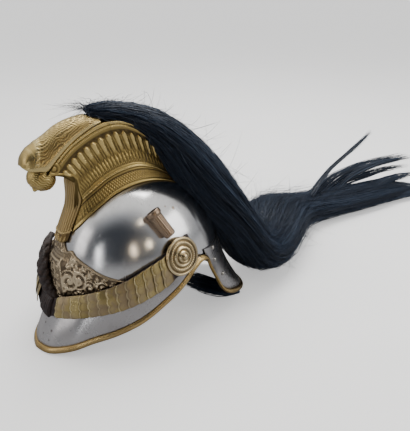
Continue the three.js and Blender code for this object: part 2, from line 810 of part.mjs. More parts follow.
// Puts a lathed piece on a surface, its axis along the outward direction.
function seat(mesh, point, out) {
  mesh.position.copy(point);
  mesh.quaternion.setFromUnitVectors(v3(0, 1, 0), out);
  return mesh;
}

function mirrored(geometry) {
  const copy = geometry.clone();
  copy.scale(-1, 1, 1);
  const index = Array.from(copy.getIndex().array);
  for (let i = 0; i < index.length; i += 3) {
    [index[i + 1], index[i + 2]] = [index[i + 2], index[i + 1]];
  }
  copy.setIndex(index);
  return copy;
}

const helmet = new THREE.Group();
helmet.rotation.x = HELMET_TILT;
helmet.position.z = HELMET_RAISE;
helmet.updateMatrixWorld(true);
const placement = helmet.matrixWorld.clone();

helmet.add(piece('skull', skull(), 'steel'));
helmet.add(piece('visor', lowerPlate(-VISOR_END_ROW, VISOR_END_ROW, 30), 'steel'));
const neckEndRow = 2 * CENTRE_BACK_ROW - NECK_START_ROW;
helmet.add(piece('neck_guard', lowerPlate(NECK_START_ROW, neckEndRow, 26), 'steel'));

const visorEdging = edging(spread(-VISOR_END_ROW, VISOR_END_ROW, 34));
const jointRow = VISOR_END_ROW + EDGING_JOINT;
const neckEdging = edging(spread(jointRow, 2 * CENTRE_BACK_ROW - jointRow, 40).map(backRow));
helmet.add(piece('visor_edging', cutAtFloor(visorEdging, placement), 'brass'));
helmet.add(piece('neck_edging', cutAtFloor(neckEdging, placement), 'brass'));

helmet.add(piece('front_plate', frontPlate(), 'bronze'));
const sideGeometry = crestSide();
helmet.add(piece('crest_side_left', sideGeometry, 'brass'));
helmet.add(piece('crest_side_right', mirrored(sideGeometry), 'brass'));
helmet.add(piece('crest_top_strip', crestTopStrip(), 'brass'));
helmet.add(piece('crest_cap', crestCap(), 'brass'));
helmet.add(piece('crest_stem', crestStem(), 'brass'));
helmet.add(piece('crest_head', crestHead(), 'brass'));

['left', 'right'].forEach((name) => {
  const side = name === 'left' ? 1 : -1;
  helmet.add(piece(`chin_strap_${name}`, leatherStrap(side), 'leather'));
  for (let i = 0; i < SCALE_COUNT; i += 1) {
    const label = String(i + 1).padStart(2, '0');
    helmet.add(piece(`scale_${name}_${label}`, strapScale(i, side), 'brass'));
  }
  const base = strapPoint(ROSETTE_PLACE, 0.5, LEATHER_THICKNESS + GAP, side);
  const out = strapPoint(ROSETTE_PLACE, 0.5, LEATHER_THICKNESS + GAP + 1, side);
  out.sub(base).normalize();
  helmet.add(seat(piece(`rosette_${name}`, rosette(), 'brass'), base, out));
});
helmet.add(piece('chin_tie', chinTie(), 'leather'));

const socketFoot = onSkull(94, 71, 9.7);
const socketLean = onSkull(87.5, 99, 10.4).sub(socketFoot).normalize();
helmet.add(seat(piece('plume_socket', plumeSocket(), 'bronze'), socketFoot, socketLean));

// Three rivets on each side hold the neck guard
RIVETS.forEach(([place, share], i) => {
  [1, -1].forEach((side) => {
    const frame = lowerFrame(place * side, share);
    const at = frame.here.clone().addScaledVector(frame.out, PLATE_THICKNESS / 2 + GAP);
    const name = `rivet_${side > 0 ? 'left' : 'right'}_${i + 1}`;
    helmet.add(seat(piece(name, rivet(), 'steel'), at, frame.out));
  });
});

const assembly = new THREE.Group();
assembly.add(helmet);
assembly.add(piece('mane', mane(), 'horsehair'));

// The origin is the bottom centre of the whole
const bounds = new THREE.Box3().setFromObject(assembly, true);
const middle = bounds.getCenter(v3());
assembly.position.set(-middle.x, -middle.y, -bounds.min.z);

const object = new THREE.Group();
object.add(assembly);

export default object;
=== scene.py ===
"""A steel cavalry helmet with a brass crest, scaled chin straps and a long horsehair mane.

Every piece is worked out on a grid of points in millimetres, in the helmet's own frame, and is
then tilted and shifted into the row frame in metres.
"""
import json

import bmesh
import bpy
import numpy as np
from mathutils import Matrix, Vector

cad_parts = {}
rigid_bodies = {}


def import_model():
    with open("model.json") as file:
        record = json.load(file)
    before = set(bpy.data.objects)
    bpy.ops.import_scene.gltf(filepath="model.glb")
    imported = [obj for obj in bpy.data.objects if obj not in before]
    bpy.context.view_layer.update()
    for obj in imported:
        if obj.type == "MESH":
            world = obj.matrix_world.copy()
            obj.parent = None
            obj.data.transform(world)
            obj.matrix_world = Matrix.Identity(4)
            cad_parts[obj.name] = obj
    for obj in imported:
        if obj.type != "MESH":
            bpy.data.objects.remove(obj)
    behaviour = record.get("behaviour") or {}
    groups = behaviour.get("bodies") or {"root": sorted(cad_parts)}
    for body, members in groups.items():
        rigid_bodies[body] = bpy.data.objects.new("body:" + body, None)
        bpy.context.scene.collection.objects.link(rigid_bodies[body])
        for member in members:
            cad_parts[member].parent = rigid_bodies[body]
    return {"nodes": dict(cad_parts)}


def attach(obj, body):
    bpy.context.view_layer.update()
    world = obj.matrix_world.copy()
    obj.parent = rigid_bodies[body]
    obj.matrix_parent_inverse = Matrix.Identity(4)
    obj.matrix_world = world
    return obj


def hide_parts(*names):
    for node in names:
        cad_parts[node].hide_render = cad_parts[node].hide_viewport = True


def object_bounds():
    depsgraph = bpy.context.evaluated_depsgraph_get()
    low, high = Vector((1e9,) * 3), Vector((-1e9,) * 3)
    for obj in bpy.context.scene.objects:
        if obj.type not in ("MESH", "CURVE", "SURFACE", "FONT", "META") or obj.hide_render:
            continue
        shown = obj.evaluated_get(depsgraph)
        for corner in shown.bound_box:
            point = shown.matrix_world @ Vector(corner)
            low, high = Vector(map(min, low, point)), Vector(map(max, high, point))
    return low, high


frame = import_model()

cad_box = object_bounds()
BOX_LOW, BOX_HIGH = [tuple(corner) for corner in cad_box]

SKULL_HALF_LENGTH = 113.0
SKULL_HALF_WIDTH = 90.0
SKULL_HEIGHT = 128.0
SKULL_POWER = 2.15
PLATE = 1.5
GAP = 0.3
TILT = np.radians(8.0)
RAISE = 70.5
SHIFT = np.array([10.489534, -281.532638, 0.0000035])

# Tables of the main curves, in millimetres and degrees, the same as the solids have.
LOWER_EDGE = np.array([
    # edge angle, reach, edge height, root angle, root height, rim height
    [0, 45, -46, 0, 7, 2], [10, 41, -45.5, 10, 7, 2], [18, 33.5, -43.5, 18, 7.5, 2],
    [26, 26, -39.5, 26, 8, 3], [36, 16, -33.5, 36, 8, 3], [50, 9, -28, 50, 9, 4],
    [65, 7, -18.5, 65, 10, 5], [80, 5, -5, 80, 14, 8], [90, 4.5, 4, 90, 18, 11],
    [98, 3.5, 12, 98, 22, 15], [105, 3, 20, 105, 28, 20], [112, 3, 24, 112, 32, 24],
    [118, 3.5, 19, 118, 30, 23], [121, 4, 2, 122, 28, 21], [123.5, 6, -15, 126, 26, 19],
    [127, 9.5, -38, 130, 24, 17], [132, 13.5, -53, 134, 22, 15], [139, 19, -64, 140, 20, 13],
    [149, 26, -74, 149, 17, 10], [163, 32, -84.5, 163, 14, 8], [180, 35, -90.4, 180, 12, 6],
])
FRONT_PLATE = np.array([
    # angle, top height, bottom height
    [0, 84, 9], [5, 81, 9], [9, 74, 9], [13, 70, 9.2], [18, 72, 9.4], [23, 67, 9.6],
    [29, 62, 10], [36, 56, 10.4], [46, 46, 11], [56, 38, 12], [66, 30, 13.5], [74, 27, 17],
])
CREST_SIDE = np.array([
    # top y, top z, bead y, bead z, bead x, foot y, foot x
    [-93, 167, -61, 124, 14.5, -84, 15], [-84, 176, -56, 128.5, 17, -73, 22],
    [-73, 185, -48, 133, 19, -58, 26], [-60, 193, -38, 137.5, 20, -43, 28],
    [-45, 199, -26, 141.5, 20, -27, 28], [-29, 203.5, -14, 143.5, 20, -12, 28],
    [-12, 205, 0, 144, 20, 2, 28], [5, 201.5, 13, 142.5, 20, 17, 28],
    [21, 192, 26, 138, 20, 32, 28], [35, 178, 38, 131.5, 20, 45, 28],
    [47, 159, 49, 122.5, 20, 57, 28], [57, 136, 60, 111, 19.5, 68, 27],
    [69, 117, 72, 104, 18, 79, 25], [80, 99, 82, 95, 16, 88, 20],
])
CREST_CAP = np.array([
    # crown y, crown z, edge x, edge y, edge z
    [-116, 183, 6, -115, 180.5], [-111, 192, 13, -110, 176.5], [-103, 198.5, 17, -101, 174],
    [-93, 202.5, 18.2, -92, 172.5], [-80, 207, 18.2, -80, 181], [-67, 212.5, 18, -67, 189.6],
    [-53, 215.5, 17.5, -52, 197.4], [-38, 216, 17, -36, 203.2], [-29, 215, 16.5, -27, 205.2],
    [-20, 212, 15.5, -19, 206.2],
])
CHIN_STRAP = np.array([
    # angle, upper height, upper lift, lower height, lower lift, slack of the right strap
    [109, 62, 0.8, 36, 0.8, 0], [101, 60, 0.8, 29, 0.8, 0], [92, 55, 1.2, 21, 1.8, 0],
    [83, 50.5, 2.2, 16, 3.4, 1], [72, 46, 3.7, 11.5, 5.5, 4], [62, 40, 4.5, 7.5, 7.5, 8],
    [50, 34, 4.5, 4, 9, 11], [36, 28, 5, 1, 11.5, 12], [22, 22, 6, -3, 15, 9],
    [12, 16.5, 8, -6, 18.5, 5], [6, 12, 10.5, -8, 21, 2.5],
])
MANE = np.array([
    # x, y, z, half width, half depth, before the shift
    [0, -58, 284.1, 7, 3], [0, -38, 282.1, 14, 7], [1, -10.2, 276, 19, 10.1],
    [4.8, 17.8, 263, 29, 15.5], [9.3, 42.1, 241.5, 37, 22], [12.7, 64.7, 209.9, 43, 29.5],
    [16.4, 87.5, 176.5, 47, 33], [20.2, 112.5, 143.7, 49, 30.5], [22, 138.3, 106.5, 50, 27.8],
    [21.4, 162.9, 67.2, 49, 29], [17.3, 191.1, 40.3, 48, 30], [4, 221, 38, 50, 35],
    [-20, 254, 43, 54, 41], [-45, 292, 42, 54, 40], [-66, 334, 33, 47, 32], [-77, 380, 25, 42, 25],
    [-79, 430, 20.5, 43, 20.5], [-75, 485, 17.5, 44, 17.5], [-67, 545, 16.5, 42, 16.5],
    [-58, 605, 15, 36, 15], [-50, 655, 12, 26, 12], [-45, 695, 7.5, 14, 7], [-43, 715, 5, 5, 3.5]])
# Places along those tables, and what the chin straps carry.
EDGING_END = 9.4
NECK_START = 12.3
BACK = 20.0
CREST_LAST = 13
STRAP_LAST = 10.0
SCALE_COUNT = 13
SCALE_START, SCALE_END = 2.35, 9.2
ROSETTE_PLACE, ROSETTE_LIFT = 1.35, 2.3

# Forms that the solids give only roughly, in the same units.
BEAD_SHARE = 0.66
CREST_FRONT = [
    # share of the way down the crest side, and the place along it where its front edge lies
    (0, 0), (0.04, 0.1), (0.12, 0.55), (0.22, 1.05), (0.32, 1.45), (0.39, 1.5), (0.46, 1.15),
    (0.55, 0.55), (0.66, 0), (1, 0)]
CREST_WALL = 1.4
STRIP_HALF_WIDTH = 12.6
STEM_HALF_WIDTH = 13.6
STEM_FRONT = np.array([
    # y and z down the middle of the stem
    [-64.5, 155.5], [-68.5, 148], [-70.5, 138], [-72.5, 128], [-76.5, 117], [-82, 107.5],
    [-87.5, 99], [-92.5, 91], [-96, 84], [-98, 79]])
STEM_BACK = np.array([
    # y and z of its back corners, along the front edges of the crest sides
    [-61, 157], [-61.5, 149], [-62, 141], [-61.5, 131], [-62, 122.5], [-68, 113],
    [-75, 103], [-81.5, 94], [-86.5, 87.5], [-90.5, 82]])
HEAD_PITCH = np.radians(38)
HEAD_BACK, HEAD_UP = -96, 161
PANEL_RISE = 4.0
PLATE_STRETCH = 1.78  # millimetres round the brow for each degree
VINE_START, VINE_PITCH, VINE_SCROLLS = 25.0, 30.0, 6
EDGING_HALF_WIDTH, EDGING_HALF_DEPTH = 4.0, 2.25
STRAP_BOW = 1.2
SCALE_LOBE, SCALE_OVERLAP = 2.2, 2.0
SCALE_FOOT, SCALE_RISE = 2.3, 2.3
TIE_HALF_ANGLE = 5.85
BUNDLE = np.array([
    # angle, height, lift and radius of the leather roll before the brow plate
    [-34, 62, 7, 4], [-24, 55, 10, 6.5], [-15, 44, 12, 8], [-10, 33, 13, 8.5], [-7, 22, 12, 8],
    [-3, 12, 10, 7], [3, 5, 8, 5]])

# Hair: loose locks before the shift, and how many locks and hairs there are.
FREE_LOCKS = [
    # x, y, z and radius along each loose lock
    [(-88, 480, 24, 11), (-96, 530, 46, 9), (-92, 600, 62, 7), (-78, 665, 68, 4.5), (-66, 710, 70, 1.5)],
    [(-60, 560, 20, 13), (-66, 610, 32, 10), (-58, 660, 38, 7), (-46, 705, 40, 2)],
    [(-40, 590, 10, 12), (-26, 640, 11, 9), (-16, 690, 8, 5), (-10, 712, 6, 2)],
]
TAIL_LOCKS = [
    # the same, at the mane's end; the last two lie under the neck guard
    [(-70, 400, 42, 6), (-78, 430, 62, 5), (-96, 485, 80, 3.4), (-97, 530, 101, 2.4), (-95, 565, 120, 1.6),
     (-94, 598, 140, 0.6)],
    [(-84, 430, 40, 12), (-100, 490, 52, 10), (-107, 545, 58, 8), (-112, 630, 62, 4.5), (-80, 713, 72, 1.5)],
    [(-84, 450, 34, 12), (-98, 520, 40, 10), (-92, 590, 45, 8), (-84, 640, 50, 6), (-69, 712, 50, 2)],
    [(-78, 470, 26, 13), (-86, 541, 24, 12), (-76, 610, 28, 9), (-58, 700, 30, 3)],
    [(-72, 470, 14, 12), (-74, 510, 11, 12), (-58, 590, 10, 9), (-42, 690, 7, 3)],
    [(50, 114, 12, 11), (30, 105, 10, 16), (10, 98, 9, 16), (-6, 93, 7, 11), (-20, 88, 5, 4)],
    [(58, 120, 14, 8), (40, 100, 12, 14), (16, 88, 10, 15), (-4, 84, 7, 10), (-18, 80, 4, 4)],
]
HAIR_LOCKS = 34
HAIR_BUNDLES, HAIRS_PER_BUNDLE = 4, 640
STRAY_HAIRS, FRINGE_HAIRS = 430, 620

# Stains on the steel: centre and radius in metres, then colour.
SKULL_MARKS = [((0.0717, -0.2644, 0.1675), 0.0045, (0.36, 0.24, 0.12, 1)),
               ((0.0700, -0.2746, 0.1714), 0.0030, (0.34, 0.22, 0.11, 1))]
VISOR_MARKS = [((0.0123, -0.4177, 0.0310), 0.0030, (0.09, 0.065, 0.055, 1)),
               ((0.0281, -0.4170, 0.0268), 0.0035, (0.10, 0.07, 0.06, 1)),
               ((0.0274, -0.4083, 0.0415), 0.0022, (0.12, 0.08, 0.065, 1)),
               ((0.0289, -0.4220, 0.0158), 0.0028, (0.09, 0.065, 0.055, 1)),
               ((0.0162, -0.4235, 0.0195), 0.0024, (0.10, 0.07, 0.06, 1)),
               ((0.0393, -0.4079, 0.0338), 0.0018, (0.12, 0.085, 0.07, 1))]

# Columns kept on the hidden side of a wall; the camera and floor, in metres.
BACK_COLUMNS = 12
CAMERA_PLACE = (0.566185, -0.576695, 0.416688)
CAMERA_TURN = (np.radians(66.0), 0.0, np.radians(54.0))
CAMERA_LENS, SENSOR_WIDTH = 43.885, 36.0
FLOOR_HALF = 60.0


def curve(table, place):
    """Catmull-Rom curve through the rows of a table: a cubic in the fraction of the place."""
    last = len(table) - 1
    place = np.clip(np.asarray(place, float), 0, last)
    i = np.minimum(place.astype(int), last - 1)
    t = (place - i)[..., None]
    rows = np.vstack([2 * table[0] - table[1], table, 2 * table[-1] - table[-2]])
    a, b, d, e = rows[i], rows[i + 1], rows[i + 2], rows[i + 3]
    m0, m1 = (d - a) / 2, (e - b) / 2
    t2, t3 = t * t, t ** 3
    return ((2 * t3 - 3 * t2 + 1) * b + (t3 - 2 * t2 + t) * m0
            + (3 * t2 - 2 * t3) * d + (t3 - t2) * m1)


def unit(v):
    """Each vector divided by its own length."""
    return v / np.maximum(np.linalg.norm(v, axis=-1, keepdims=True), 1e-12)


def vec(*parts):
    """Stacks numbers or arrays into one array of points."""
    return np.stack(np.broadcast_arrays(*[np.asarray(p, float) for p in parts]), -1)


def skull_normal(p):
    """Outward direction of the skull: the gradient of its power ellipsoid."""
    x, y, z = p[..., 0], p[..., 1], p[..., 2]
    pull = np.hypot(x / SKULL_HALF_WIDTH, y / SKULL_HALF_LENGTH) ** (SKULL_POWER - 2)
    up = np.where(z > 0, (np.maximum(z, 0) / SKULL_HEIGHT) ** (SKULL_POWER - 1) / SKULL_HEIGHT, 0)
    return unit(vec(pull * x / SKULL_HALF_WIDTH ** 2, pull * y / SKULL_HALF_LENGTH ** 2, up))


def on_skull(angle, z, lift=0.0):
    """Point on the skull by its angle from the front and its height, raised by lift."""
    share = np.clip(np.asarray(z, float) / SKULL_HEIGHT, 0, 1)
    ring = (1 - share ** SKULL_POWER) ** (1 / SKULL_POWER)
    a = np.radians(angle)
    p = vec(SKULL_HALF_WIDTH * ring * np.sin(a), -SKULL_HALF_LENGTH * ring * np.cos(a), z)
    return p + skull_normal(p) * np.asarray(lift, float)[..., None]


def skull_height(x, y):
    """Height of the skull over a point of its plan: the power ellipsoid solved for z."""
    ring = np.minimum(np.hypot(x / SKULL_HALF_WIDTH, y / SKULL_HALF_LENGTH), 1)
    return SKULL_HEIGHT * (1 - ring ** SKULL_POWER) ** (1 / SKULL_POWER)


def mirrored_row(table, place, columns):
    """Row of a half table; beyond its first row the named columns change sign."""
    place = np.asarray(place, float)
    row = curve(table, np.abs(place)).copy()
    for c in columns:
        row[..., c] *= np.sign(place + 1e-12)
    return row


def lower_surface(place, share):
    """Visor and neck guard: a straight run from root to edge with a sine swell outwards."""
    place = np.where(np.asarray(place) > BACK, np.asarray(place) - 2 * BACK, place)
    place, share = np.broadcast_arrays(np.asarray(place, float), np.asarray(share, float))
    row = mirrored_row(LOWER_EDGE, place, (0, 3))
    root = on_skull(row[..., 3], row[..., 4], GAP + PLATE / 2)
    rim = on_skull(row[..., 0], 0 * place)
    out = unit(rim * [1, 1, 0])
    edge = rim * [1, 1, 0] + vec(0, 0, row[..., 2]) + out * row[..., 1:2]
    bow = np.where(np.abs(place) < 11, 0.09, -0.13)
    swell = (bow * row[..., 1] * np.sin(np.pi * share))[..., None] * out
    return root + (edge - root) * share[..., None] + swell


def grid_normal(grid):
    """Normal of a grid: the cross product of the central differences along its two axes."""
    return unit(np.cross(np.gradient(grid, axis=0), np.gradient(grid, axis=1)))


def crest_point(place, across, inset=0.0):
    """Crest side: from the top bead a hollow face down to the lower bead, then the foot flange."""
    place, across = np.broadcast_arrays(np.asarray(place, float), np.asarray(across, float))
    row = curve(CREST_SIDE, place)
    foot = vec(row[..., 6], row[..., 5], skull_height(row[..., 6], row[..., 5]))
    foot = foot + skull_normal(foot) * 2 * GAP
    top = vec(16, row[..., 0], row[..., 1])
    bead = vec(row[..., 4], row[..., 2], row[..., 3])
    low = across > BEAD_SHARE
    t = np.where(low, (across - BEAD_SHARE) / (1 - BEAD_SHARE), across / BEAD_SHARE)
    lower = bead + (foot - bead) * t[..., None]
    upper = top + (bead - top) * t[..., None]
    pull = np.maximum(0, 1 - place / 3) ** 2 * 5 * np.sin(np.pi * t)
    lower = lower - vec(inset + 0.8 * np.sin(np.pi * t), 0, 0)
    upper = upper + vec(-2.2 * np.sin(np.pi * t) - inset, pull * 0.75, -pull * 0.65)
    return np.where(low[..., None], lower, upper)


def smooth(x, lo, hi):
    """Smooth step from 0 at lo to 1 at hi."""
    t = np.clip((x - lo) / (hi - lo), 0, 1)
    return t * t * (3 - 2 * t)


def roll(d, half):
    """Half-round ridge of unit height: the root of one less the squared distance."""
    return np.sqrt(np.clip(1 - (d / half) ** 2, 0, 1))


def wave_noise(u, v, scale, seed, octaves=3):
    """Soft uneven field from 0 to 1: sines of turned directions, added up at rising pitch."""
    rng = np.random.default_rng(seed)
    total, weight = np.zeros(np.broadcast(u, v).shape), 0.0
    for k in range(octaves):
        pitch = 2 ** k / scale
        for _ in range(5):
            a, phase = rng.uniform(0, 2 * np.pi, 2)
            total += np.sin(2 * np.pi * pitch * (u * np.cos(a) + v * np.sin(a)) + phase) / 2 ** k
        weight += 2.2 / 2 ** k
    return 0.5 + 0.5 * np.clip(total / weight, -1, 1)


def to_row(points, tilted=True):
    """Helmet frame to the row frame in metres: the forward tilt about X, the raise, the shift."""
    x, y, z = points[..., 0], points[..., 1], points[..., 2]
    if tilted:
        c, s = np.cos(TILT), np.sin(TILT)
        y, z = y * c - z * s, y * s + z * c + RAISE
    placed = (vec(x, y, z) + SHIFT) / 1000
    placed[..., 2] = np.maximum(placed[..., 2], 0.0)
    return placed


def add_piece(name, verts, faces, material, nodes=(), fields=None, merge=True):
    """Puts arrays into a mesh, closes its seams and poles, and turns its faces outwards."""
    mesh = bpy.data.meshes.new(name)
    verts = np.asarray(verts, np.float32).reshape(-1, 3)
    corners = np.concatenate([f.ravel() for f in faces]).astype(np.int32)
    sizes = np.concatenate([np.full(len(f), f.shape[1]) for f in faces]).astype(np.int32)
    mesh.vertices.add(len(verts))
    mesh.vertices.foreach_set("co", verts.ravel())
    mesh.loops.add(len(corners))
    mesh.loops.foreach_set("vertex_index", corners)
    mesh.polygons.add(len(sizes))
    mesh.polygons.foreach_set("loop_start", np.concatenate([[0], np.cumsum(sizes)[:-1]]))
    mesh.update(calc_edges=True)
    for key, values in (fields or {}).items():
        values = np.asarray(values, np.float32)
        kind = "FLOAT_VECTOR" if values.ndim == 2 else "FLOAT"
        layer = mesh.attributes.new(key, kind, "POINT")
        layer.data.foreach_set("vector" if values.ndim == 2 else "value", values.ravel())
    if merge:
        bm = bmesh.new()
        bm.from_mesh(mesh)
        bmesh.ops.remove_doubles(bm, verts=bm.verts, dist=2e-6)
        bmesh.ops.dissolve_degenerate(bm, edges=bm.edges, dist=1e-7)
        bmesh.ops.recalc_face_normals(bm, faces=bm.faces)
        bm.to_mesh(mesh)
        bm.free()
    mesh.polygons.foreach_set("use_smooth", np.ones(len(mesh.polygons), bool))
    piece = bpy.data.objects.new(name, mesh)
    bpy.context.scene.collection.objects.link(piece)
    piece.data.materials.append(material)
    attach(piece, "root")
    if nodes:
        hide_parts(*nodes)
    return piece


def grid_faces(rows, columns, start=0, wrap=False):
    """Quads between neighbours of a grid of points, closed round the first axis if wrap is set."""
    i = np.arange(rows if wrap else rows - 1)[:, None]
    j = np.arange(columns - 1)[None, :]
    n = (i + 1) % rows
    quad = np.stack([i * columns + j, n * columns + j, n * columns + j + 1, i * columns + j + 1], -1)
    return start + quad.reshape(-1, 4)


def wall(front, back, wrap=False):
    """Closed wall between a fine front grid and a coarser back one with the same rows."""
    rows, columns = front.shape[:2]
    behind = back.shape[1]
    total = rows * columns
    verts = np.concatenate([front.reshape(-1, 3), back.reshape(-1, 3)])
    faces = [grid_faces(rows, columns, 0, wrap), grid_faces(rows, behind, total, wrap)]
    index = np.arange(total).reshape(rows, columns)
    under = total + np.arange(rows * behind).reshape(rows, behind)
    for edge in (0, -1):
        line, other = index[:, edge], under[:, edge]
        if wrap:
            line, other = np.append(line, line[0]), np.append(other, other[0])
        faces.append(np.stack([line[:-1], line[1:], other[1:], other[:-1]], -1))
        if not wrap:
            faces.append(np.concatenate([index[edge], under[edge][::-1]])[None, :])
    return verts, faces


def coarse(grid, keep=BACK_COLUMNS):
    """Every so many columns of a grid, for the side that is hardly seen."""
    picked = np.unique(np.linspace(0, grid.shape[1] - 1, keep).astype(int))
    return grid[:, picked]


def plate_piece(name, front, back, material, nodes=(), relief=None, wrap=False):
    """A wall between two grids as a piece, with its relief and which side is which as fields."""
    back = coarse(back)
    verts, faces = wall(front, back, wrap)
    size, under = (grid.shape[0] * grid.shape[1] for grid in (front, back))
    relief = np.full(front.shape[:2], 0.5) if relief is None else relief
    fields = {"relief": np.concatenate([relief.ravel(), np.full(under, 0.35)]),
              "inside": np.concatenate([np.zeros(size), np.ones(under)])}
    return add_piece(name, to_row(verts), faces, material, nodes, fields)


def tube_piece(name, rings, material, nodes=(), relief=None, tilted=True, fields=None):
    """A body through rings of points, each end closed by a fan round its middle."""
    count, sides = rings.shape[:2]
    verts = np.concatenate([rings.reshape(-1, 3), rings[:1].mean(1), rings[-1:].mean(1)])
    j = np.arange(sides)
    n = (j + 1) % sides
    body = grid_faces(sides, count, 0, True)
    order = np.arange(count * sides).reshape(count, sides).T.ravel()
    body = order[body]
    hub = count * sides
    last = (count - 1) * sides
    caps = [np.stack([n, j, j * 0 + hub], -1), np.stack([last + j, last + n, j * 0 + hub + 1], -1)]
    relief = np.full((count, sides), 0.5) if relief is None else relief
    given = {"relief": np.append(relief.ravel(), [0.5, 0.5]), "inside": np.zeros(len(verts))}
    for key, values in (fields or {}).items():
        flat = values.reshape(count * sides, -1)
        ends = np.stack([flat[:sides].mean(0), flat[-sides:].mean(0)])
        given[key] = np.squeeze(np.concatenate([flat, ends]))
    return add_piece(name, to_row(verts, tilted), [body] + caps, material, nodes, given)


def lathe_rings(profile, sides, steps):
    """Rings of a turned body: radius and height run along the profile's polyline."""
    profile = np.asarray(profile, float)
    run = np.concatenate([[0], np.cumsum(np.linalg.norm(np.diff(profile, axis=0), axis=1))])
    along = np.linspace(0, run[-1], steps)
    along = np.sort(np.concatenate([along, run]))
    radius, height = (np.interp(along, run, profile[:, k]) for k in (0, 1))
    turn = np.linspace(0, 2 * np.pi, sides, endpoint=False)
    return radius, height, turn


def place_on(radius, height, turn, foot, axis, start):
    """Turned rings put with their axis along a direction from a foot point."""
    axis = unit(np.asarray(axis, float))
    one = unit(np.cross(axis, start))
    two = np.cross(axis, one)
    ring = one * np.cos(turn)[..., None] + two * np.sin(turn)[..., None]
    return foot + ring * radius[..., None] + axis * height[..., None]


class Net:
    """Short calls for one node tree: each makes a node and gives back what it puts out."""

    def __init__(self, tree):
        self.tree = tree

    def add(self, kind, props=None, **inputs):
        made = self.tree.nodes.new("ShaderNode" + kind)
        for key, value in (props or {}).items():
            setattr(made, key, value)
        for key, value in inputs.items():
            self.put(made, key, value)
        return made

    def put(self, made, key, value):
        socket = made.inputs[int(key[1:])] if key[1:].isdigit() else made.inputs[key.replace("_", " ")]
        if isinstance(value, bpy.types.NodeSocket):
            self.tree.links.new(value, socket)
        else:
            socket.default_value = value

    def math(self, operation, a, b=0.0, clamp=False):
        return self.add("Math", {"operation": operation, "use_clamp": clamp}, i0=a, i1=b).outputs[0]

    def noise(self, vector, scale, detail=3.0, rough=0.5, distortion=0.0):
        made = self.add("TexNoise", Vector=vector, Scale=scale, Detail=detail, Roughness=rough,
                        Distortion=distortion)
        return made.outputs["Fac"]

    def span(self, value, lo, hi, to_lo=0.0, to_hi=1.0):
        made = self.add("MapRange", {"interpolation_type": "SMOOTHSTEP"}, i0=value, i1=lo, i2=hi,
                        i3=to_lo, i4=to_hi)
        return made.outputs[0]

    def mix(self, factor, a, b):
        return self.add("Mix", {"data_type": "RGBA"}, i0=factor, i6=a, i7=b).outputs[2]

    def ramp(self, value, stops):
        made = self.add("ValToRGB", i0=value)
        points = made.color_ramp.elements
        while len(points) < len(stops):
            points.new(0.5)
        for point, (at, colour) in zip(points, stops):
            point.position, point.color = at, (*colour, 1)
        return made.outputs[0]

    def stretch(self, vector, scale, turn=(0, 0, 0), move=(0, 0, 0)):
        made = self.add("Mapping", Vector=vector, Location=move, Rotation=turn, Scale=scale)
        return made.outputs[0]

    def field(self, name, output="Fac"):
        return self.add("Attribute", {"attribute_name": name}).outputs[output]

    def objects(self):
        return self.add("TexCoord").outputs["Object"]

    def bump(self, height, strength, distance):
        return self.add("Bump", Strength=strength, Distance=distance, Height=height).outputs[0]

    def group(self, tree, **inputs):
        made = self.tree.nodes.new("ShaderNodeGroup")
        made.node_tree = tree
        for key, value in inputs.items():
            self.put(made, key, value)
        return made.outputs


def new_group(name, inputs, outputs):
    """An empty shader group with its named float, colour and vector sockets."""
    tree = bpy.data.node_groups.new(name, "ShaderNodeTree")
    for key, kind, value in inputs:
        socket = tree.interface.new_socket(key, in_out="INPUT", socket_type="NodeSocket" + kind)
        if value is not None:
            socket.default_value = value
    for key, kind in outputs:
        tree.interface.new_socket(key, in_out="OUTPUT", socket_type="NodeSocket" + kind)
    net = Net(tree)
    return net, tree.nodes.new("NodeGroupInput").outputs, tree.nodes.new("NodeGroupOutput")


def tarnish_group():
    """Wide patches, small spots and a fine grain, as masks from 0 to 1."""
    net, given, out = new_group(
        "tarnish", [("Vector", "Vector", None), ("Scale", "Float", 30.0), ("Amount", "Float", 0.5)],
        [("Patches", "Float"), ("Spots", "Float"), ("Grain", "Float")])
    wide = net.noise(given["Vector"], given["Scale"], 5.0, 0.6, 0.4)
    low = net.math("SUBTRACT", 0.78, net.math("MULTIPLY", given["Amount"], 0.45))
    patches = net.span(wide, low, net.math("ADD", low, 0.16))
    fine = net.noise(given["Vector"], net.math("MULTIPLY", given["Scale"], 9.0), 4.0, 0.7)
    spots = net.span(fine, 0.6, 0.72)
    grain = net.noise(given["Vector"], net.math("MULTIPLY", given["Scale"], 45.0), 2.0, 0.6)
    for key, value in (("Patches", patches), ("Spots", spots), ("Grain", grain)):
        net.put(out, key, value)
    return net.tree


def scratches_group():
    """Fine scratches: noise stretched along two slanted directions, sharpened to thin lines."""
    net, given, out = new_group(
        "fine scratches", [("Vector", "Vector", None), ("Scale", "Float", 120.0)],
        [("Lines", "Float")])
    lines = []
    for turn, flat in (((0.3, 0.9, 0.2), (1.0, 0.05, 0.3)), ((1.2, 0.1, 1.1), (0.25, 1.0, 0.04))):
        laid = net.stretch(given["Vector"], flat, turn)
        lines.append(net.span(net.noise(laid, given["Scale"], 3.0, 0.75), 0.62, 0.74))
    net.put(out, "Lines", net.math("MAXIMUM", lines[0], lines[1]))
    return net.tree


def new_material(name):
    """An empty material with its node helper and its surface shader."""
    material = bpy.data.materials.new(name)
    material.use_nodes = True
    net = Net(material.node_tree)
    shader = material.node_tree.nodes["Principled BSDF"]
    return material, net, shader


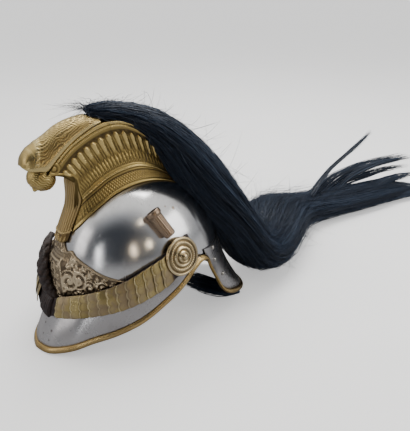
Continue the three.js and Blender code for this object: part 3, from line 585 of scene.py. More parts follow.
def steel(name, light, dark, rough, rust, marks=()):
    """Polished steel: smudges and scratches in the gloss, spots of rust, and an inner face painted dark as
    painted shade.
    """
    material, net, shader = new_material(name)
    place = net.objects()
    age = net.group(TARNISH, Vector=place, Scale=16.0, Amount=0.45)
    fine = net.group(TARNISH, Vector=place, Scale=55.0, Amount=rust)
    lines = net.group(SCRATCHES, Vector=place, Scale=260.0)["Lines"]
    colour = net.mix(net.math("MULTIPLY", age["Patches"], 0.5), light, dark)
    worn = net.math("MULTIPLY", fine["Patches"], fine["Spots"])
    for centre, radius, tone in marks:
        offset = net.stretch(place, (1 / radius,) * 3, move=tuple(-c / radius for c in centre))
        away = net.add("VectorMath", {"operation": "LENGTH"}, i0=offset).outputs["Value"]
        broken = net.math("ADD", away, net.math("MULTIPLY", fine["Grain"], 0.9))
        spot = net.span(broken, 1.15, 0.75)
        colour = net.mix(net.math("MULTIPLY", spot, 0.75), colour, tone)
    colour = net.mix(net.math("MULTIPLY", worn, 0.85), colour, (0.05, 0.035, 0.03, 1))
    colour = net.mix(net.math("MULTIPLY", lines, 0.2), colour, (0.92, 0.92, 0.92, 1))
    wide = net.span(net.noise(place, 26.0, 6.0, 0.65, 0.5), 0.35, 0.7)
    colour = net.mix(net.math("MULTIPLY", wide, 0.25), colour, (0.46, 0.41, 0.385, 1))
    specks = net.span(net.noise(place, 420.0, 2.0, 0.6), 0.68, 0.74)
    colour = net.mix(net.math("MULTIPLY", specks, 0.6), colour, (0.12, 0.09, 0.075, 1))
    # Painted shade: the inner faces are mixed to a dark navy that stands for the shadow inside the bowl and
    # plates.
    colour = net.mix(net.field("inside"), colour, (0.020, 0.026, 0.045, 1))
    net.put(shader, "Base Color", colour)
    gloss = net.math("ADD", rough, net.math("MULTIPLY", age["Patches"], 0.035))
    gloss = net.math("ADD", gloss, net.math("MULTIPLY", wide, 0.05))
    gloss = net.math("ADD", gloss, net.math("MULTIPLY", lines, 0.07))
    gloss = net.math("ADD", gloss, net.math("MULTIPLY", worn, 0.35))
    gloss = net.math("ADD", gloss, net.math("MULTIPLY", net.field("inside"), 0.3), clamp=True)
    net.put(shader, "Roughness", gloss)
    net.put(shader, "Metallic", net.math("SUBTRACT", 1.0, net.math("MULTIPLY", worn, 0.7)))
    height = net.math("ADD", net.math("MULTIPLY", lines, -0.2), fine["Grain"])
    net.put(shader, "Normal", net.bump(height, 0.02, 0.0005))
    return material


def brass(name, hollow, middle, bright, rough, patches, dull):
    """Stamped brass: dark hollows, bright ridges, dull patches and a soft grain."""
    material, net, shader = new_material(name)
    place = net.objects()
    age = net.group(TARNISH, Vector=place, Scale=38.0, Amount=patches)
    small = net.group(TARNISH, Vector=place, Scale=110.0, Amount=0.5)
    uneven = net.math("MULTIPLY", net.math("SUBTRACT", small["Grain"], 0.5), 0.35)
    raised = net.math("ADD", net.field("relief"), uneven, clamp=True)
    colour = net.ramp(raised, [(0.0, hollow), (0.42, middle), (0.95, bright)])
    colour = net.mix(net.math("MULTIPLY", age["Patches"], 0.55), colour, dull)
    colour = net.mix(net.math("MULTIPLY", small["Spots"], 0.3), colour, (*hollow, 1))
    # Painted shade: the inner faces are mixed most of the way to the hollow colour.
    colour = net.mix(net.math("MULTIPLY", net.field("inside"), 0.7), colour, (*hollow, 1))
    net.put(shader, "Base Color", colour)
    gloss = net.math("ADD", rough, net.math("MULTIPLY", age["Patches"], 0.14))
    gloss = net.math("SUBTRACT", gloss, net.math("MULTIPLY", raised, 0.12))
    gloss = net.math("ADD", gloss, net.math("MULTIPLY", small["Spots"], 0.15), clamp=True)
    net.put(shader, "Roughness", gloss)
    net.put(shader, "Metallic", net.span(raised, 0.0, 0.3, 0.75, 1.0))
    height = net.math("ADD", small["Grain"], net.math("MULTIPLY", age["Grain"], 0.5))
    net.put(shader, "Normal", net.bump(height, 0.12, 0.0006))
    return material


def old_leather():
    """Dark brown leather: cells of grain, long creases along the strap, worn lighter patches."""
    material, net, shader = new_material("old leather")
    place = net.objects()
    cells = net.add("TexVoronoi", {"feature": "DISTANCE_TO_EDGE"}, Vector=place, Scale=520.0)
    pores = net.span(cells.outputs["Distance"], 0.0, 0.22)
    creases = net.noise(net.stretch(place, (1.0, 0.35, 2.0)), 190.0, 4.0, 0.65, 0.6)
    wear = net.group(TARNISH, Vector=place, Scale=70.0, Amount=0.4)
    colour = net.ramp(creases, [(0.3, (0.010, 0.007, 0.008)), (0.6, (0.045, 0.028, 0.024)),
                                (0.8, (0.12, 0.075, 0.055))])
    colour = net.mix(net.math("MULTIPLY", wear["Patches"], 0.5), colour, (0.10, 0.065, 0.06, 1))
    net.put(shader, "Base Color", colour)
    net.put(shader, "Roughness", net.span(creases, 0.3, 0.75, 0.42, 0.75))
    height = net.math("ADD", net.math("MULTIPLY", pores, 0.35), creases)
    net.put(shader, "Normal", net.bump(height, 0.5, 0.0008))
    return material


def horsehair(name, core):
    """Black horsehair: a blue tone along each lock, fine lines along the hair, a soft gloss."""
    material, net, shader = new_material(name)
    flow = net.field("flow", "Vector")
    tone = net.field("tone")
    fine = net.noise(net.stretch(flow, (900.0, 14.0, 1.0)), 1.0, 3.0, 0.6)
    wide = net.noise(net.stretch(flow, (120.0, 6.0, 1.0)), 1.0, 3.0, 0.5)
    shade = net.math("ADD", net.math("MULTIPLY", tone, 0.6), net.math("MULTIPLY", wide, 0.5))
    colour = net.ramp(shade, [(0.15, (0.002, 0.005, 0.012)), (0.5, (0.008, 0.019, 0.044)),
                              (0.95, (0.050, 0.080, 0.135))])
    net.put(shader, "Base Color", colour)
    net.put(shader, "Roughness", net.span(fine, 0.3, 0.7, 0.34, 0.55))
    shader.inputs["Specular IOR Level"].default_value = 0.15 if core else 0.5
    if core:
        height = net.math("ADD", fine, net.math("MULTIPLY", wide, 2.0))
        net.put(shader, "Normal", net.bump(height, 0.9, 0.0016))
    return material


def nodes_named(pattern):
    """Names of the solids that start with the given letters, in order."""
    return [n for n in sorted(frame["nodes"]) if n.startswith(pattern)]


def skull_piece():
    """The bowl: power ellipsoid with faint dents and one shallow crease across its left side."""
    columns, rows = 190, 64
    angle = np.linspace(-180, 180, columns, endpoint=False)[:, None]
    place = np.linspace(0, BACK, 800)
    path = curve(LOWER_EDGE, place)
    rim = np.interp(np.abs(angle), np.maximum.accumulate(path[:, 3]), path[:, 5])
    low = np.arcsin((rim / SKULL_HEIGHT) ** (SKULL_POWER / 2))
    rise = np.pi / 2 + (low - np.pi / 2) * np.linspace(0, 1, rows)[None, :]
    z = SKULL_HEIGHT * np.minimum(np.sin(rise), 1) ** (2 / SKULL_POWER)
    z[:, 0] = SKULL_HEIGHT
    dents = 0.5 * (wave_noise(angle * 1.6 + 0 * z, z, 95.0, 4) - 0.5)
    crease = np.interp(z, [30, 60, 85, 100], [127, 125, 130, 138])
    dents = dents - 0.35 * np.exp(-((angle - crease) / 1.6) ** 2) * smooth(z, 28, 50) * smooth(-z, -112, -90)
    dents = dents * smooth(-z, -126, -100)
    wide = angle + 0 * z
    plate_piece("skull_bowl", on_skull(wide, z, dents), on_skull(wide, z, dents * 0 - PLATE),
                STEEL_SKULL, ["skull"], wrap=True)


def lower_plate_piece(name, start, end, columns, material, node):
    """Visor or neck guard: the run from root to edging, a plate's thickness either way."""
    place = np.linspace(start, end, columns)[:, None]
    depth = np.linalg.norm(lower_surface(place, 0.0) - lower_surface(place, 1.0), axis=-1)
    share = (1 - 4.4 / depth) * np.linspace(0, 1, 18)[None, :]
    middle = lower_surface(place, share)
    out = grid_normal(middle)
    away = np.sign((out * middle * [1, 1, 0]).sum(-1).mean())
    plate_piece(name, middle + away * out * PLATE / 2, middle - away * out * PLATE / 2,
                material, [node])


def edging_piece(name, start, end, count, node):
    """Rolled brass edging: an oval section with a fine step along its inner side."""
    place = np.linspace(start, end, count)
    here = lower_surface(place, 1.0)
    along = unit(np.gradient(here, axis=0))
    down = unit(here - lower_surface(place, 0.985))
    out = unit(np.cross(down, along))
    out *= np.sign((out * here * [1, 1, 0]).sum(-1))[:, None]
    turn = np.linspace(0, 2 * np.pi, 28, endpoint=False)[None, :]
    wide, thick = np.cos(turn), np.sin(turn)
    wide = EDGING_HALF_WIDTH * np.sign(wide) * np.abs(wide) ** 0.8
    thick = EDGING_HALF_DEPTH * np.sign(thick) * np.abs(thick) ** 0.75
    thick = thick * (1 - 0.16 * np.exp(-((wide + 2.3) / 0.5) ** 2))
    wander = 0.12 * (wave_noise(place[:, None] * 9 + 0 * turn, turn + 0 * place[:, None], 9.0, 8) - 0.5)
    rings = (here[:, None] + down[:, None] * wide[..., None]
             + out[:, None] * (thick * (1 + wander))[..., None])
    relief = np.clip(0.35 + 0.5 * np.abs(thick) / EDGING_HALF_DEPTH + wander * 2, 0, 1)
    tube_piece(name, rings, BRASS_EDGING, [node], relief)


def leaf(u, v, root_u, root_v, turn, length, width, curl=0.0, lobes=4):
    """Acanthus leaf: half width as a sine of the way along, cut by lobes, with a sunk midrib."""
    a = np.radians(turn)
    s = ((u - root_u) * np.cos(a) + (v - root_v) * np.sin(a)) / length
    t = (-(u - root_u) * np.sin(a) + (v - root_v) * np.cos(a)) / width
    t = t - curl * s * s
    cuts = 0.78 + 0.22 * np.cos(2 * np.pi * lobes * s - 3 * np.abs(t))
    body = np.sin(np.pi * np.clip(s, 0, 1) ** 0.75) * cuts
    shape = np.clip(1 - np.abs(t) / np.maximum(body, 0.02), 0, 1) * ((s > 0) & (s < 1))
    veins = 0.22 * np.cos(2 * np.pi * lobes * s - 5 * np.abs(t))
    return np.clip(shape * 2.2, 0, 1) * (0.85 + veins) - 0.35 * np.exp(-(t / 0.09) ** 2) * (shape > 0)


def scroll(u, v, centre_u, centre_v, size, hand=1, turns=2.0):
    """Scroll: a round ridge wound on a spiral whose radius grows evenly with its angle."""
    x, y = u - centre_u, hand * (v - centre_v)
    radius, angle = np.hypot(x, y), np.arctan2(y, x)
    pitch = size / turns
    phase = np.mod(radius / pitch - angle / (2 * np.pi), 1.0) - 0.5
    ridge = roll(phase, 0.34) * (radius < size * 0.97)
    return np.maximum(ridge, 1.2 * roll(radius, pitch * 0.42))


def front_plate_piece():
    """The brow plate: a scrolled centre panel between two ribs, with a vine wound on a sine."""
    columns, rows = 300, 84
    angle = np.linspace(-74, 74, columns)[:, None]
    edge = curve(FRONT_PLATE, np.linspace(0, 11, 400))
    top = np.interp(np.abs(angle), edge[:, 0], edge[:, 1])
    bottom = np.interp(np.abs(angle), edge[:, 0], edge[:, 2])
    share = np.linspace(0, 1, rows)[None, :]
    z = top + (bottom - top) * share
    u, v = np.abs(angle) * PLATE_STRETCH + 0 * z, z
    rib = 19.5 + 0.10 * (58 - z) - 3.5 * smooth(z, 40, 62)
    panel = smooth(-u, -rib, -rib + 2.5) * smooth(-z, -60, -56)
    ribs = roll(u - rib, 1.5) * smooth(-z, -62, -58)
    inner = np.maximum.reduce([
        scroll(u, v, 0.0, 46.0, 8.5, 1, 2.2), scroll(u, v, 11.5, 51.0, 5.2, -1, 1.8),
        scroll(u, v, 12.5, 39.5, 4.6, 1, 1.6), leaf(u, v, 2.0, 33.0, 58, 15, 4.2, 0.4),
        leaf(u, v, 1.0, 17.0, 90, 16, 4.5, 0.0, 5), leaf(u, v, 3.0, 21.0, 35, 15, 4.2, -0.5),
        scroll(u, v, 9.5, 17.0, 5.4, -1, 1.8), roll(np.hypot(u - 15.5, v - 28.5), 2.2),
        leaf(u, v, 6.0, 31.0, -12, 12, 3.2, 0.5)])
    band = roll(z - 13.0, 1.6) + roll(z - 57.0, 1.5)
    collar = (smooth(z, 58.5, 60) * smooth(-z, -70.5, -69)) * (
        0.45 + 0.4 * np.abs(np.sin((z - 59) * 0.82)) * smooth(-u, -22, -18))
    flames = np.maximum.reduce([
        leaf(u, v, 0.0, 69.0, 90, 17, 4.6, 0.0, 3), leaf(u, v, 3.5, 69.0, 66, 13, 3.4, 0.7, 3),
        scroll(u, v, 13.5, 70.5, 4.0, 1, 1.6), scroll(u, v, 7.5, 72.5, 2.8, -1, 1.4)])
    middle, half = (top + bottom) / 2, (top - bottom) / 2
    wave = 2 * np.pi * (u - VINE_START) / VINE_PITCH
    sprays = 0.9 * roll(v - middle - 0.46 * half * np.sin(wave), 1.25)
    for number in range(VINE_SCROLLS):
        hand = 1 - 2 * (number % 2)
        centre = VINE_START + VINE_PITCH * (0.25 + 0.5 * number)
        high, low = (np.interp(centre / PLATE_STRETCH, edge[:, 0], edge[:, column]) for column in (1, 2))
        at, reach = (high + low) / 2, (high - low) / 2
        sprays = np.maximum.reduce([
            sprays, scroll(u, v, centre, at - hand * 0.12 * reach, 0.46 * reach, hand, 1.7),
            leaf(u, v, centre - 5, at + hand * 0.42 * reach, hand * 28,
                 0.8 * reach, 0.26 * reach, hand * 0.5, 3),
            leaf(u, v, centre - 7, at - hand * 0.20 * reach, -hand * 66,
                 0.75 * reach, 0.24 * reach, -hand * 0.5, 3),
            leaf(u, v, centre + 1, at - hand * 0.52 * reach, -hand * 30,
                 0.7 * reach, 0.22 * reach, hand * 0.5, 3)])
    outside = smooth(u, rib, rib + 2)
    ground = 0.16 * wave_noise(u * np.sign(angle + 0.01), v, 4.0, 12)
    height = 0.45 * panel + 1.25 * ribs + panel * np.clip(inner, 0, 1.3) * 0.85 + band * panel
    height = height + outside * np.clip(sprays, 0, 1.2) * 1.35 + collar + np.clip(flames, 0, 1.2) * (z > 67)
    height = height + ground * (0.3 + 0.7 * outside)
    from_edge = np.minimum(z - bottom, (top - z) * 0.9)
    border = roll(from_edge - 1.2, 1.3)
    height = np.maximum(height * smooth(from_edge, 1.5, 3.2), 0.75 * border + 0.15)
    height = np.clip(height, 0, 2.1)
    wide = angle + 0 * z
    swell = PANEL_RISE * smooth(-np.abs(wide), -21, -11) * smooth(-z, -66, -52)
    front = on_skull(wide, z, GAP + 0.95 + height + swell)
    back = on_skull(wide, z, GAP + 0 * height)
    plate_piece("brow_plate", front, back, BRONZE_PLATE, ["front_plate"],
                np.clip(height / 1.45, 0, 1) ** 0.9)


def crest_side_piece(name, side, node):
    """Crest side: rolled beads, a row of upright tongues, fine palmettes and a pebbled foot."""
    columns, rows = 300, 84
    across = np.linspace(0, 1, rows)[None, :]
    across = across + 0.012 * np.sin(2 * np.pi * across)
    starts = np.interp(across, *np.transpose(CREST_FRONT))
    place = starts + (CREST_LAST - starts) * np.linspace(0, 1, columns)[:, None]
    base = crest_point(place, across)
    lengths = np.linalg.norm(np.diff(base[:, rows // 4], axis=0), axis=-1)
    u = np.concatenate([[0], np.cumsum(lengths)])[:, None] + 0 * across
    tongues = place * 1.56 - 0.35
    local = np.mod(tongues, 1) - 0.5
    slant = (across - 0.2) / 0.28
    fade = smooth(-across, -0.50, -0.34)
    half = 0.36 - 0.16 * np.clip(slant, 0, 1)
    head = np.clip(1 - (np.clip(0.215 - across, 0, 1) / 0.055) ** 2, 0, 1) ** 0.5
    tongue = roll(local, half * np.maximum(head, 0.05)) ** 0.8 * fade * (across > 0.16)
    drop = np.clip(1 - (np.clip(across - 0.30, 0, 1) / 0.06) ** 2, 0.35, 1)
    tongue = tongue * np.where((place < 4.6) & (place > 1.4), drop, 0.55 + 0.45 * drop)
    darts = 0.45 * roll(np.mod(tongues + 0.5, 1) - 0.5, 0.10) * smooth(across, 0.17, 0.24) * fade
    reeds = np.abs(np.sin(np.pi * (tongues * 2 + 3.2 * (across - 0.5))))
    cross = np.abs(np.sin(np.pi * (tongues * 2 - 3.2 * (across - 0.5))))
    leaves = np.minimum(reeds, cross) * 0.85 + 0.3 * wave_noise(u, across * 60, 3.2, 21)
    low_field = smooth(across, 0.38, 0.47) * smooth(-across, -0.60, -0.585)
    up_field = smooth(across, 0.115, 0.14) * (1 - low_field) * smooth(-across, -0.60, -0.585)
    height = up_field * (tongue * 1.5 + darts + 0.18 * wave_noise(u, across * 70, 5.0, 31))
    height = height + low_field * leaves * 0.8
    for centre, half_width, tall in [(0.022, 0.026, 1.5), (0.075, 0.018, 1.15), (0.108, 0.010, 0.6),
                                     (0.612, 0.014, 0.8), (0.648, 0.020, 1.3), (0.70, 0.020, 0.5),
                                     (0.955, 0.030, 0.9)]:
        height = np.maximum(height, tall * roll(across - centre, half_width))
    pebbles = np.clip(np.sin(2 * np.pi * u / 3.4 + 5 * across) * np.sin(2 * np.pi * across / 0.085), 0, 1)
    height = height + (smooth(across, 0.73, 0.76) * smooth(-across, -0.93, -0.90)) * (0.25 + 0.8 * pebbles)
    boss = np.hypot(base[..., 1] + 84.5, base[..., 2] - 171.5)
    spiral = np.maximum(0.9 * roll(boss, 3.0), 0.8 * roll(boss - 6.0, 1.6))
    height = np.where(boss < 8.5, np.maximum(spiral, 0.15), height)
    height = np.maximum(height, 0.8 * roll((place - starts) * 12.0 - 1.4, 1.5) * (across < 0.6))
    relief = np.clip(height / 1.5, 0, 1)
    raised = base + vec(height - 0.25, 0, 0)
    inner = crest_point(place, across, CREST_WALL)
    turned = np.array([side, 1, 1])
    plate_piece(name, raised * turned, inner * turned, BRASS_CREST, [node], relief)


def crest_web_piece():
    """The hollow front of the crest: a sheet from one side's front edge to the other's."""
    across = np.linspace(0.03, 0.42, 60)[:, None]
    starts = np.interp(across, *np.transpose(CREST_FRONT))
    edge = crest_point(starts + 0.12, across, 0.7)
    x = np.linspace(-1, 1, 41)[None, :]
    sheet = edge * [0, 1, 1] + vec(edge[..., 0] * x, 0, 0)
    ahead = vec(0, -0.75, -0.65)
    flutes = 0.9 * np.abs(np.cos(2.5 * np.pi * x)) * np.ones_like(across)
    front = sheet + ahead * (0.2 + flutes)[..., None]
    plate_piece("crest_front_web", front, sheet - ahead * 0.8, BRASS_CREST,
                relief=0.25 + 0.6 * flutes)


def crest_strip_piece():
    """The strip that closes the crest on top, a shallow arch along both upper beads."""
    place = np.linspace(1, CREST_LAST, 120)
    row = curve(CREST_SIDE, place)
    at = vec(0, row[:, 0], row[:, 1])
    run = unit(np.gradient(at, axis=0))
    up = vec(0, -run[:, 2], run[:, 1])
    up = up * np.sign(up[:, 2].mean())
    x = np.linspace(-STRIP_HALF_WIDTH, STRIP_HALF_WIDTH, 24)
    arch = 1 - (x / STRIP_HALF_WIDTH) ** 2
    front = at[:, None] + vec(x, 0, 0)[None] + up[:, None] * (arch - 1)[None, :, None]
    plate_piece("crest_top_sheet", front, front - up[:, None] * 1.8, BRASS_CREST,
                ["crest_top_strip"])


def crest_cap_piece():
    """The hood: a plain oval boss at its tip, feathered grooves and a leaf run behind it."""
    columns, ribs = 180, 108
    place = np.linspace(0, 9, columns)[:, None]
    row = curve(CREST_CAP, place)
    arc = np.linspace(-1, 1, ribs)[None, :] * np.pi / 2
    rise = np.clip(np.cos(arc), 0, 1) ** 0.8
    x = row[..., 2] * np.sin(arc)
    u = np.abs(arc) * 2 / np.pi
    boss_edge = 3.1 - 1.5 * u ** 2
    boss = smooth(-place, -boss_edge, -boss_edge + 0.25)
    rim = roll(place - boss_edge, 0.30)
    bar = 0.5 * roll(place - 1.9 - 0.3 * u, 0.20) * smooth(-u, -0.75, -0.6)
    wander = wave_noise(place * 6 + 0 * u, u * 16 * np.sign(arc + 0.01), 9.0, 5)
    strands = np.sin(2 * np.pi * (u * 11 + 0.5 * np.sin(place * 2.3 + u * 6) + 1.1 * wander))
    feathers = 0.5 + 0.5 * strands
    barbs = 0.5 + 0.5 * np.sin(2 * np.pi * (place * 4.6 - u * 5.5) + 2.5 * wander)
    crown = np.exp(-(u / 0.16) ** 2)
    leaf_run = 0.5 + 0.5 * np.cos(2 * np.pi * (place * 2.1 + u * 2.6))
    field = feathers * 0.42 + barbs * 0.22 * smooth(-u, -0.85, -0.35) + crown * leaf_run * 0.35
    height = field * (1 - boss) + boss * 0.35 + 0.30 * rim + 0.35 * bar * boss
    height = np.maximum(height * smooth(-u, -0.95, -0.86), 0.62 * roll(u - 0.935, 0.085))
    depth = row[..., 1] - row[..., 4]
    y = row[..., 3] + (row[..., 0] - row[..., 3]) * rise
    front = vec(x, y, row[..., 4] + np.maximum(depth, 0.5) * rise)
    out = grid_normal(front)
    out = out * np.where(out[..., 2:].mean() > 0, 1, -1)
    back_depth = np.maximum(depth - PLATE, 0.4)
    forward = PLATE * np.maximum(0, 1 - place / 2)
    back = vec((row[..., 2] - PLATE) * np.sin(arc), y + forward, row[..., 4] + back_depth * rise)
    plate_piece("crest_hood", front + out * (height * 0.9)[..., None] * smooth(place, 0, 0.5)[..., None],
                back, BRASS_HOOD, ["crest_cap"], np.clip(height, 0, 1))


def crest_stem_piece():
    """The stem: a deep arched band with flutes along it, from under the crest down to the plate."""
    level = np.linspace(0, 1, 120)
    ahead = curve(STEM_FRONT, level * (len(STEM_FRONT) - 1))
    behind = curve(STEM_BACK, level * (len(STEM_BACK) - 1))
    around = np.linspace(-1, 1, 91)[None, :]
    arc = around * np.pi / 2
    x = STEM_HALF_WIDTH * np.sign(arc) * np.abs(np.sin(arc)) ** 0.75
    back = (1 - np.clip(np.cos(arc), 0, 1) ** 0.75)[..., None]
    middle = vec(0, ahead[:, 0], ahead[:, 1])[:, None]
    corner = vec(0, behind[:, 0], behind[:, 1])[:, None]
    sheet = middle + (corner - middle) * back + vec(x, 0, 0)
    out = grid_normal(sheet)
    out = out * np.where(out[:, 45:46, 1:2] > 0, -1, 1)
    flutes = np.abs(np.sin(5.5 * np.pi * (around + 1))) ** 0.7
    foot = smooth(level, 0.80, 0.84)[:, None]
    u, v = around * 22 + 0 * level[:, None], (1 - level[:, None]) * 90 + 0 * around
    leaves = np.maximum.reduce([
        leaf(np.abs(u), v, 0, 0, 90, 17, 4, 0.0), leaf(np.abs(u), v, 5, 0, 74, 15, 3.6, 0.4),
        leaf(np.abs(u), v, 12, 0, 70, 13, 3.4, 0.4), roll(np.hypot(u, v - 4), 2.4)])
    cord = roll(v - 17.5, 1.6)
    height = flutes * (1 - foot) + foot * np.clip(leaves, 0, 1.2) * 1.4 + cord
    front = sheet + out * (height + 0.4)[..., None]
    plate_piece("crest_fluted_stem", front, sheet - out * 1.3, BRASS_STEM,
                ["crest_stem"], np.clip(0.22 + height * 0.55, 0, 1))


def crest_head_piece():
    """The small head: an oval with brow, nose, lips and chin as soft hills, hair in waves."""
    level = np.linspace(0.0, 1.0, 110)[:, None]
    turn = np.linspace(0, 2 * np.pi, 132, endpoint=False)[None, :]
    polar = np.pi * (0.015 + 0.97 * level)
    up = 16 * np.cos(polar)
    ring = np.sin(polar) ** 0.9
    face = np.clip(np.cos(turn), 0, 1)
    side = np.sin(turn) * 14 * ring
    front = smooth(face, 0.55, 0.8)
    nose = 3.4 * np.exp(-(side / 1.7) ** 2) * smooth(up, -5.2, -3.6) * smooth(-up, -4.5, 3) * face ** 2
    brow = 0.9 * np.exp(-((up - 4.6) / 1.2) ** 2) * np.exp(-(side / 8) ** 2)
    eyes = -1.5 * np.exp(-((up - 1.8) / 1.7) ** 2 - ((np.abs(side) - 4.4) / 2.4) ** 2)
    lids = 0.9 * np.exp(-((up - 1.6) / 0.9) ** 2 - ((np.abs(side) - 4.4) / 1.6) ** 2)
    lips = 0.9 * np.exp(-((up + 8.4) / 0.8) ** 2 - (side / 2.8) ** 2)
    lips = lips + 0.8 * np.exp(-((up + 10.4) / 0.9) ** 2 - (side / 2.3) ** 2)
    chin = 1.6 * np.exp(-((up + 13.6) / 1.6) ** 2 - (side / 3.5) ** 2)
    cheeks = 0.6 * np.exp(-((up + 3.5) / 3.5) ** 2 - ((np.abs(side) - 6.5) / 3) ** 2)
    hair_mask = np.clip(1 - front * smooth(-up, -8.2, -6.6), 0, 1)
    waves = np.abs(np.sin(16 * turn + 0.3 * up + 0.9 * np.sin(up * 0.6)))
    hair = hair_mask * (0.8 + 0.6 * waves)
    features = (nose + brow + eyes + lids + lips + chin + cheeks) * (1 - hair_mask)
    wide = 13.3 * ring + hair * 0.8
    deep = (14.9 - 2 * (np.cos(turn) < 0)) * ring + features + hair * 0.9
    points = vec(wide * np.sin(turn), -deep * np.cos(turn), up + 0 * turn)
    y, z = points[..., 1].copy(), points[..., 2].copy()
    points[..., 1] = y * np.cos(HEAD_PITCH) - z * np.sin(HEAD_PITCH) + HEAD_BACK
    points[..., 2] = y * np.sin(HEAD_PITCH) + z * np.cos(HEAD_PITCH) + HEAD_UP
    relief = np.clip(0.45 + 0.25 * features + hair_mask * (waves - 0.5), 0, 1)
    tube_piece("crest_small_head", points, BRASS_CREST, ["crest_head"], relief)


def strap_point(place, across, height, side):
    """Point over a chin strap: between its edges, raised along the normal with a slight bow."""
    place, across = np.broadcast_arrays(np.asarray(place, float), np.asarray(across, float))

    def edge(at, share):
        row = curve(CHIN_STRAP, at)
        slack = row[..., 5] if side < 0 else 0
        upper = on_skull(row[..., 0], row[..., 1], row[..., 2] + slack)
        lower = on_skull(row[..., 0], row[..., 3], row[..., 4] + slack)
        return upper + (lower - upper) * share[..., None]

    step = 0.02
    here = edge(place, across)
    out = unit(np.cross(edge(place + step, across) - edge(place - step, across),
                        edge(place, across + step) - here))
    out = out * np.sign((out * here * [1, 1, 0]).sum(-1, keepdims=True))
    lifted = here + out * (height + STRAP_BOW * np.sin(np.pi * across))[..., None]
    return lifted * [side, 1, 1]


def strap_piece(name, side, node):
    """Leather strap: a band two millimetres thick with soft creases across it."""
    place = np.linspace(0, STRAP_LAST, 220)[:, None]
    across = np.linspace(0.02, 0.98, 26)[None, :]
    creases = wave_noise(place * 14, across * 9, 7.0, 41 + side)
    lift = 1.7 + 0.5 * creases + 0 * across
    serrated = 0.012 * np.sin(place * 9) * (across > 0.9)
    front = strap_point(place, across + serrated, lift, side)
    back = strap_point(place, across + serrated, 0 * lift, side)
    plate_piece(name, front, back, LEATHER, [node], creases)


def scale_run(side):
    """Places along the strap that lie at even lengths: the running sum of short chords."""
    marks = np.linspace(SCALE_START, SCALE_END, 401)
    steps = np.linalg.norm(np.diff(strap_point(marks, 0.5, 0.0 * marks, side), axis=0), axis=-1)
    return np.concatenate([[0], np.cumsum(steps)]), marks


def scales_piece(name, side, pattern):
    """Thirteen overlapping plates with three rounded lobes each, joined into one piece."""
    lengths, marks = scale_run(side)
    total = lengths[-1]
    pitch = (total - SCALE_LOBE - SCALE_OVERLAP) / SCALE_COUNT
    rng = np.random.default_rng(60 + side)
    across = np.linspace(0, 1, 43)[None, :]
    share = np.linspace(0, 1, 15)[:, None]
    scallop = np.clip(np.abs(np.sin(3 * np.pi * across)), 0, 1) ** 0.6
    verts, faces, relief, inside, count = [], [], [], [], 0
    for number in range(SCALE_COUNT):
        length = pitch + SCALE_OVERLAP + SCALE_LOBE * (1.15 * scallop - 0.15)
        run = number * pitch + length * share
        at = np.interp(np.minimum(run, total), lengths, marks)
        tip = smooth(share, 0.80, 1.0)
        dome = 0.26 * scallop * smooth(share, 0.25, 0.75) * (1 - 0.8 * tip)
        side_fall = -0.6 * (1 - roll(across - 0.5, 0.54))
        line = -0.2 * np.exp(-((share - 0.84) / 0.035) ** 2)
        lift = SCALE_FOOT + SCALE_RISE * share + dome + line + side_fall * 0.5 + rng.uniform(-0.15, 0.2)
        front = strap_point(at, across, lift + 1.0 - 0.45 * tip, side)
        under_lift = SCALE_FOOT + SCALE_RISE * share + side_fall * 0.5 + 0 * across
        back = coarse(strap_point(at, across, under_lift, side))
        v, f = wall(front, back)
        size, under = (grid.shape[0] * grid.shape[1] for grid in (front, back))
        # Painted highlight along each scale's lobed tip; the root of each scale, just beyond the tip of the
        # one before, is darkened as painted shadow.
        painted_edge_highlight = np.exp(-((share - 0.95) / 0.05) ** 2)
        high = 0.34 + 0.5 * dome + 1.3 * line + 0.55 * painted_edge_highlight + rng.uniform(-0.08, 0.08)
        high = np.clip(high - 0.5 * np.exp(-(share / 0.16) ** 2), 0, 1) + 0 * lift
        verts.append(v)
        faces += [q + count for q in f]
        relief.append(np.concatenate([high.ravel(), np.full(under, 0.2)]))
        inside.append(np.concatenate([np.zeros(size), np.ones(under)]))
        count += len(v)
    fields = {"relief": np.concatenate(relief), "inside": np.concatenate(inside)}
    add_piece(name, to_row(np.concatenate(verts)), faces, BRASS_SCALE,
              nodes_named(pattern), fields)


def rosette_piece(name, side, node):
    """Round boss: turned rings, two of them broken into beads by a sine of the turn."""
    base = strap_point(ROSETTE_PLACE, 0.5, ROSETTE_LIFT, side)
    axis = unit(strap_point(ROSETTE_PLACE, 0.5, ROSETTE_LIFT + 1, side) - base)
    profile = [(0.01, 0), (23, 0), (24, 1), (23.6, 2.5), (22.2, 3.2), (20.8, 2.9), (20.2, 2.2),
               (19.4, 2.2), (18.0, 3.9), (16.6, 4.4), (15.2, 3.9), (14.2, 3.0), (13.2, 3.6),
               (12.0, 5.4), (10.6, 5.8), (9.2, 5.0), (8.2, 4.6), (7.2, 6.0), (6.2, 7.2),
               (5.4, 6.6), (4.6, 7.2), (3.4, 8.7), (1.8, 9.3), (0.01, 9.5)]
    radius, height, turn = lathe_rings(profile, 120, 84)
    radius, height = radius[:, None] + 0 * turn, height[:, None] + 0 * turn
    top = height > 1.5
    petals = np.abs(np.sin(20 * turn))
    height = height - top * 0.8 * (1 - petals) * roll(radius - 16.6, 2.4)
    height = height - top * 0.6 * (1 - np.abs(np.sin(28 * turn))) * roll(radius - 11.2, 1.6)
    relief = np.clip(0.25 + 0.75 * top * (
        roll(radius - 22.4, 1.6) + petals * roll(radius - 16.6, 2.2) + roll(radius - 11.2, 1.7)
        + roll(radius - 6.2, 1.4) + roll(radius, 3.6)), 0, 1)
    rings = place_on(radius, height, turn, base, axis, [0, 0, 1])
    tube_piece(name, rings, BRASS_ROSETTE, [node], relief)


